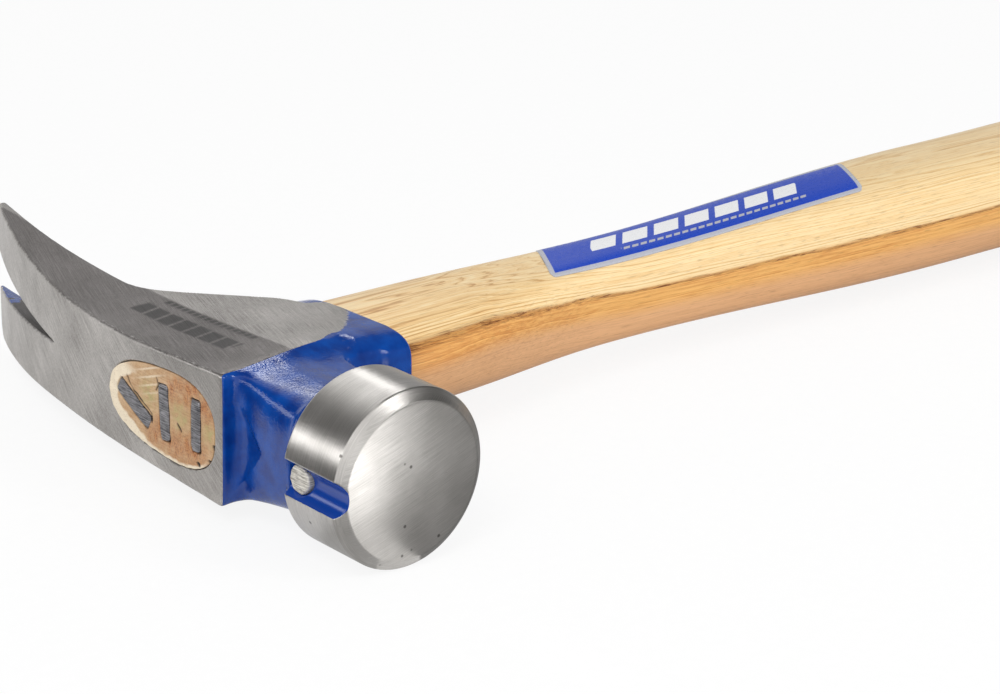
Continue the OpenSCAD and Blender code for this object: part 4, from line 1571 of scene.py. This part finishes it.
@dataclass
class Studio:
    """Camera of the photograph, white floor and background, and soft lamps. Places in metres."""

    # Where the camera stands, and how it is turned, in degrees: round Z from X, up, and about its view
    camera_at: Place = (-0.2623925, -0.3874281, 0.1819865)
    heading: float = 47.9643
    tilt: float = -19.7756
    roll: float = 1.8749
    lens: float = 93.6
    floor_at: float = -0.0176
    floor_half: float = 4.0
    floor_glow: float = 0.55
    floor_lift: float = 0.33
    head_at: Place = (0.02, -0.04, 0.0)
    lamps_aim: Place = (0.03, -0.02, 0.0)
    lamps: tuple[Lamp, ...] = (
        Lamp("key", (-0.7, -0.5, 0.9), 0.6, 7.0),
        Lamp("fill", (0.42, -0.86, 0.6), 0.36, 3.4),
    )
    # Grey cards hold the steel down, and small bright ones put light on the poll and the enamel
    cards: tuple[Card, ...] = (
        Card("right_card", (0.36, -0.14, 0.05), 0.24, 0.2),
        Card("back_card", (0.62, 0.66, 0.33), 0.8, 0.48),
        Card("top_card", (0.118, 0.171, 0.182), 0.11, 1.9),
        Card("front_card", (0.21, -0.29, 0.07), 0.26, 0.25),
        Card("floor_card", (0.17, -0.15, -0.0171), 0.3, 0.29, 0.0),
        Card("near_card", (-0.035, -0.085, -0.0172), 0.09, 0.55, 0.0),
        Card("dark_card", (0.2, -0.04, 0.25), 0.5, 0.1),
        Card("left_card", (-0.13, 0.14, 0.14), 0.2, 0.25),
        Card("spark_card", (0.122, 0.1, 0.126), 0.028, 6.5),
        Card("white_card", (0.022, -0.166, -0.0168), 0.12, 3.4, -0.81),
    )
    # Stripes of the arch: degrees round the poll, their brightness, and the arch's distance in mm
    arch_places: tuple[float, ...] = (24, 34, 42, 56, 60, 62, 67, 69, 80, 85)
    arch_tones: tuple[float, ...] = (1.3, 0.5, 0.1, 0.03, 0.2, 3.4, 3.4, 0.1, 0.05, 0.15)
    arch_bends: tuple[float, ...] = (24, 72, 80, 85)
    arch_reaches: tuple[float, ...] = (200, 200, 120, 80)
    arch_tilts: tuple[float, float] = (-8, 42)
    arch_steps: tuple[int, int] = (86, 30)
    arch_over: float = -48.0
    world_light: float = 0.56

    def camera_axes(self) -> tuple[Array, Array, Array]:
        """Unit vectors of the camera's right, its up and its view.

        Returns:
            The three vectors, from heading and tilt, turned by the roll.
        """
        heading, tilt, roll = (math.radians(v) for v in (self.heading, self.tilt, self.roll))
        level = math.cos(tilt)
        view = np.array([level * math.cos(heading), level * math.sin(heading), math.sin(tilt)])
        flat_right = np.array([math.sin(heading), -math.cos(heading), 0.0])
        right = math.cos(roll) * flat_right + math.sin(roll) * np.cross(flat_right, view)
        return right, np.cross(right, view), view

    def add_camera(self) -> None:
        """Adds the camera at the photograph's viewing angle and makes it the scene's camera."""
        data = bpy.data.cameras.new("photo_camera")
        data.lens = self.lens
        data.sensor_width = 36
        data.sensor_fit = "HORIZONTAL"
        data.clip_start = 0.01
        right, up, view = self.camera_axes()
        camera = add_object("photo_camera", data)
        camera.matrix_world = standing(self.camera_at, (right, up, -view))
        bpy.context.scene.camera = camera

    def add_lamp(self, lamp: Lamp) -> None:
        """Adds a soft lamp.

        Args:
            lamp: Its name, place, size and power.
        """
        data = bpy.data.lights.new(lamp.name, "AREA")
        data.size = lamp.size
        data.energy = lamp.power
        light = add_object(lamp.name, data)
        light.matrix_world = standing(lamp.at, facing(lamp.at, self.lamps_aim))

    def add_card(self, card: Card) -> None:
        """Adds a card beside the hammer.

        Args:
            card: Its name, place, size and tone.
        """
        side, up, _ = facing(card.at, self.head_at)
        if card.lying is not None:
            side = np.array([math.cos(card.lying), math.sin(card.lying), 0.0])
            up = np.array([-math.sin(card.lying), math.cos(card.lying), 0.0])
        share = np.linspace(-0.5, 0.5, 9) * card.size
        u, v = np.meshgrid(share, share, indexing="ij")
        grid = (np.array(card.at) + u[..., None] * side + v[..., None] * up) / MM
        self._add_glow(card.name, grid, np.full(grid.shape[:2], card.tone))

    def add_arch(self, head: Head) -> None:
        """Adds a striped arch over the poll, where a point mirrors the camera ray: r = d - 2 (d n) n.

        Its grey, white and dark stripes run along the poll, so that the turned side shows soft bands.

        Args:
            head: The head, for the poll's axis and radius.
        """
        round_steps, tilt_steps = self.arch_steps
        turned = np.linspace(self.arch_places[0], self.arch_places[-1], round_steps)[:, None]
        round_by, tilt = np.radians(turned), np.radians(np.linspace(*self.arch_tilts, tilt_steps))[None, :]
        turned = turned + 0 * tilt
        out = np.stack([-np.sin(round_by), 0 * round_by, np.cos(round_by)], -1)
        ahead = np.array([0.0, -1.0, 0.0])
        normal = out * np.cos(tilt)[..., None] + ahead * np.sin(tilt)[..., None]
        view = self.camera_axes()[2]
        mirrored = view - 2 * (normal @ view)[..., None] * normal
        reach = np.interp(turned, self.arch_bends, self.arch_reaches)[..., None]
        middle = np.array([head.axis, self.arch_over, 0.0])
        grid = middle + head.poll_radius * out + reach * mirrored
        self._add_glow("arch", grid, np.interp(turned, self.arch_places, self.arch_tones))

    def _add_glow(self, name: str, grid: Array, tone: Array) -> None:
        """Adds a stage surface that glows by its tone and is seen by glossy rays alone.

        Args:
            name: Name of the surface.
            grid: Points in mm, rows by columns by 3.
            tone: Brightness at each point, where 1 is white.
        """
        card = add_object(name, sheet_shell(grid, {"tone": tone.ravel()}).mesh(name))
        m = Finish(name)
        shade = m.add("Attribute", attribute_name="tone").outputs["Fac"]
        m.feed(m.output, {"Surface": m.add("Emission", "#ffffff", shade)})
        card.data.materials.append(m.material)
        card.visible_camera = False
        card.visible_diffuse = False
        card.visible_shadow = False

    def add_floor(self) -> None:
        """Adds a wide white floor that keeps the hammer's shadow."""
        steps = np.linspace(-self.floor_half, self.floor_half, 41)
        x, y = np.meshgrid(steps, steps, indexing="ij")
        grid = np.stack([x, y, 0 * x + self.floor_at], -1) / MM
        m = Finish("white_paper")
        grain = m.add("TexNoise", m.add("TexCoord").outputs["Object"], inputs={"Scale": 400})
        tone = m.add("ValToRGB", grain, ramp=[(0.3, "#f4f4f4"), (0.7, "#fafafa")])
        m.feed(m.shader, {"Base Color": tone, "Roughness": 0.9, "Specular IOR Level": 0.1})
        camera, seen = seen_rays(m)
        brighter = m.add("Math", camera, self.floor_lift, operation="MULTIPLY")
        share = m.add("Math", seen, self.floor_glow, brighter, operation="MULTIPLY_ADD")
        glow = m.add("Emission", "#ffffff", 1.0)
        m.feed(m.output, {"Surface": m.add("MixShader", share, m.shader, glow)})
        floor = add_object("floor", sheet_shell(grid).mesh("floor"))
        floor.data.materials.append(m.material)

    def light_world(self) -> None:
        """White surroundings where they are seen, and a softer grey where they only light."""
        world = bpy.data.worlds.new("studio")
        bpy.context.scene.world = world
        world.use_nodes = True
        m = NodeTree(world.node_tree)
        strength = m.add("MapRange", seen_rays(m)[1], 0.0, 1.0, self.world_light, 1.0)
        m.feed(m.tree.nodes["Background"], {"Color": "#ffffff", "Strength": strength})

    def build(self, head: Head) -> None:
        """Sets the view transform and adds camera, floor, lamps, cards and world.

        Args:
            head: The head, over whose poll the arch stands.
        """
        bpy.context.scene.view_settings.view_transform = "Standard"
        self.add_camera()
        self.add_floor()
        for lamp in self.lamps:
            self.add_lamp(lamp)
        for card in self.cards:
            self.add_card(card)
        self.add_arch(head)
        self.light_world()


def main() -> None:
    """Builds the hammer piece by piece, then the studio."""
    logging.basicConfig(level=logging.INFO, format="%(message)s")
    head, handle = Head(), Handle()
    for assembly in (head, Magnet(), handle, Label(handle), Wedge):
        for piece in assembly.add():
            LOG.info("%s: %d faces", piece.name, len(piece.data.polygons))
    Studio().build(head)


if __name__ == "__main__":
    main()
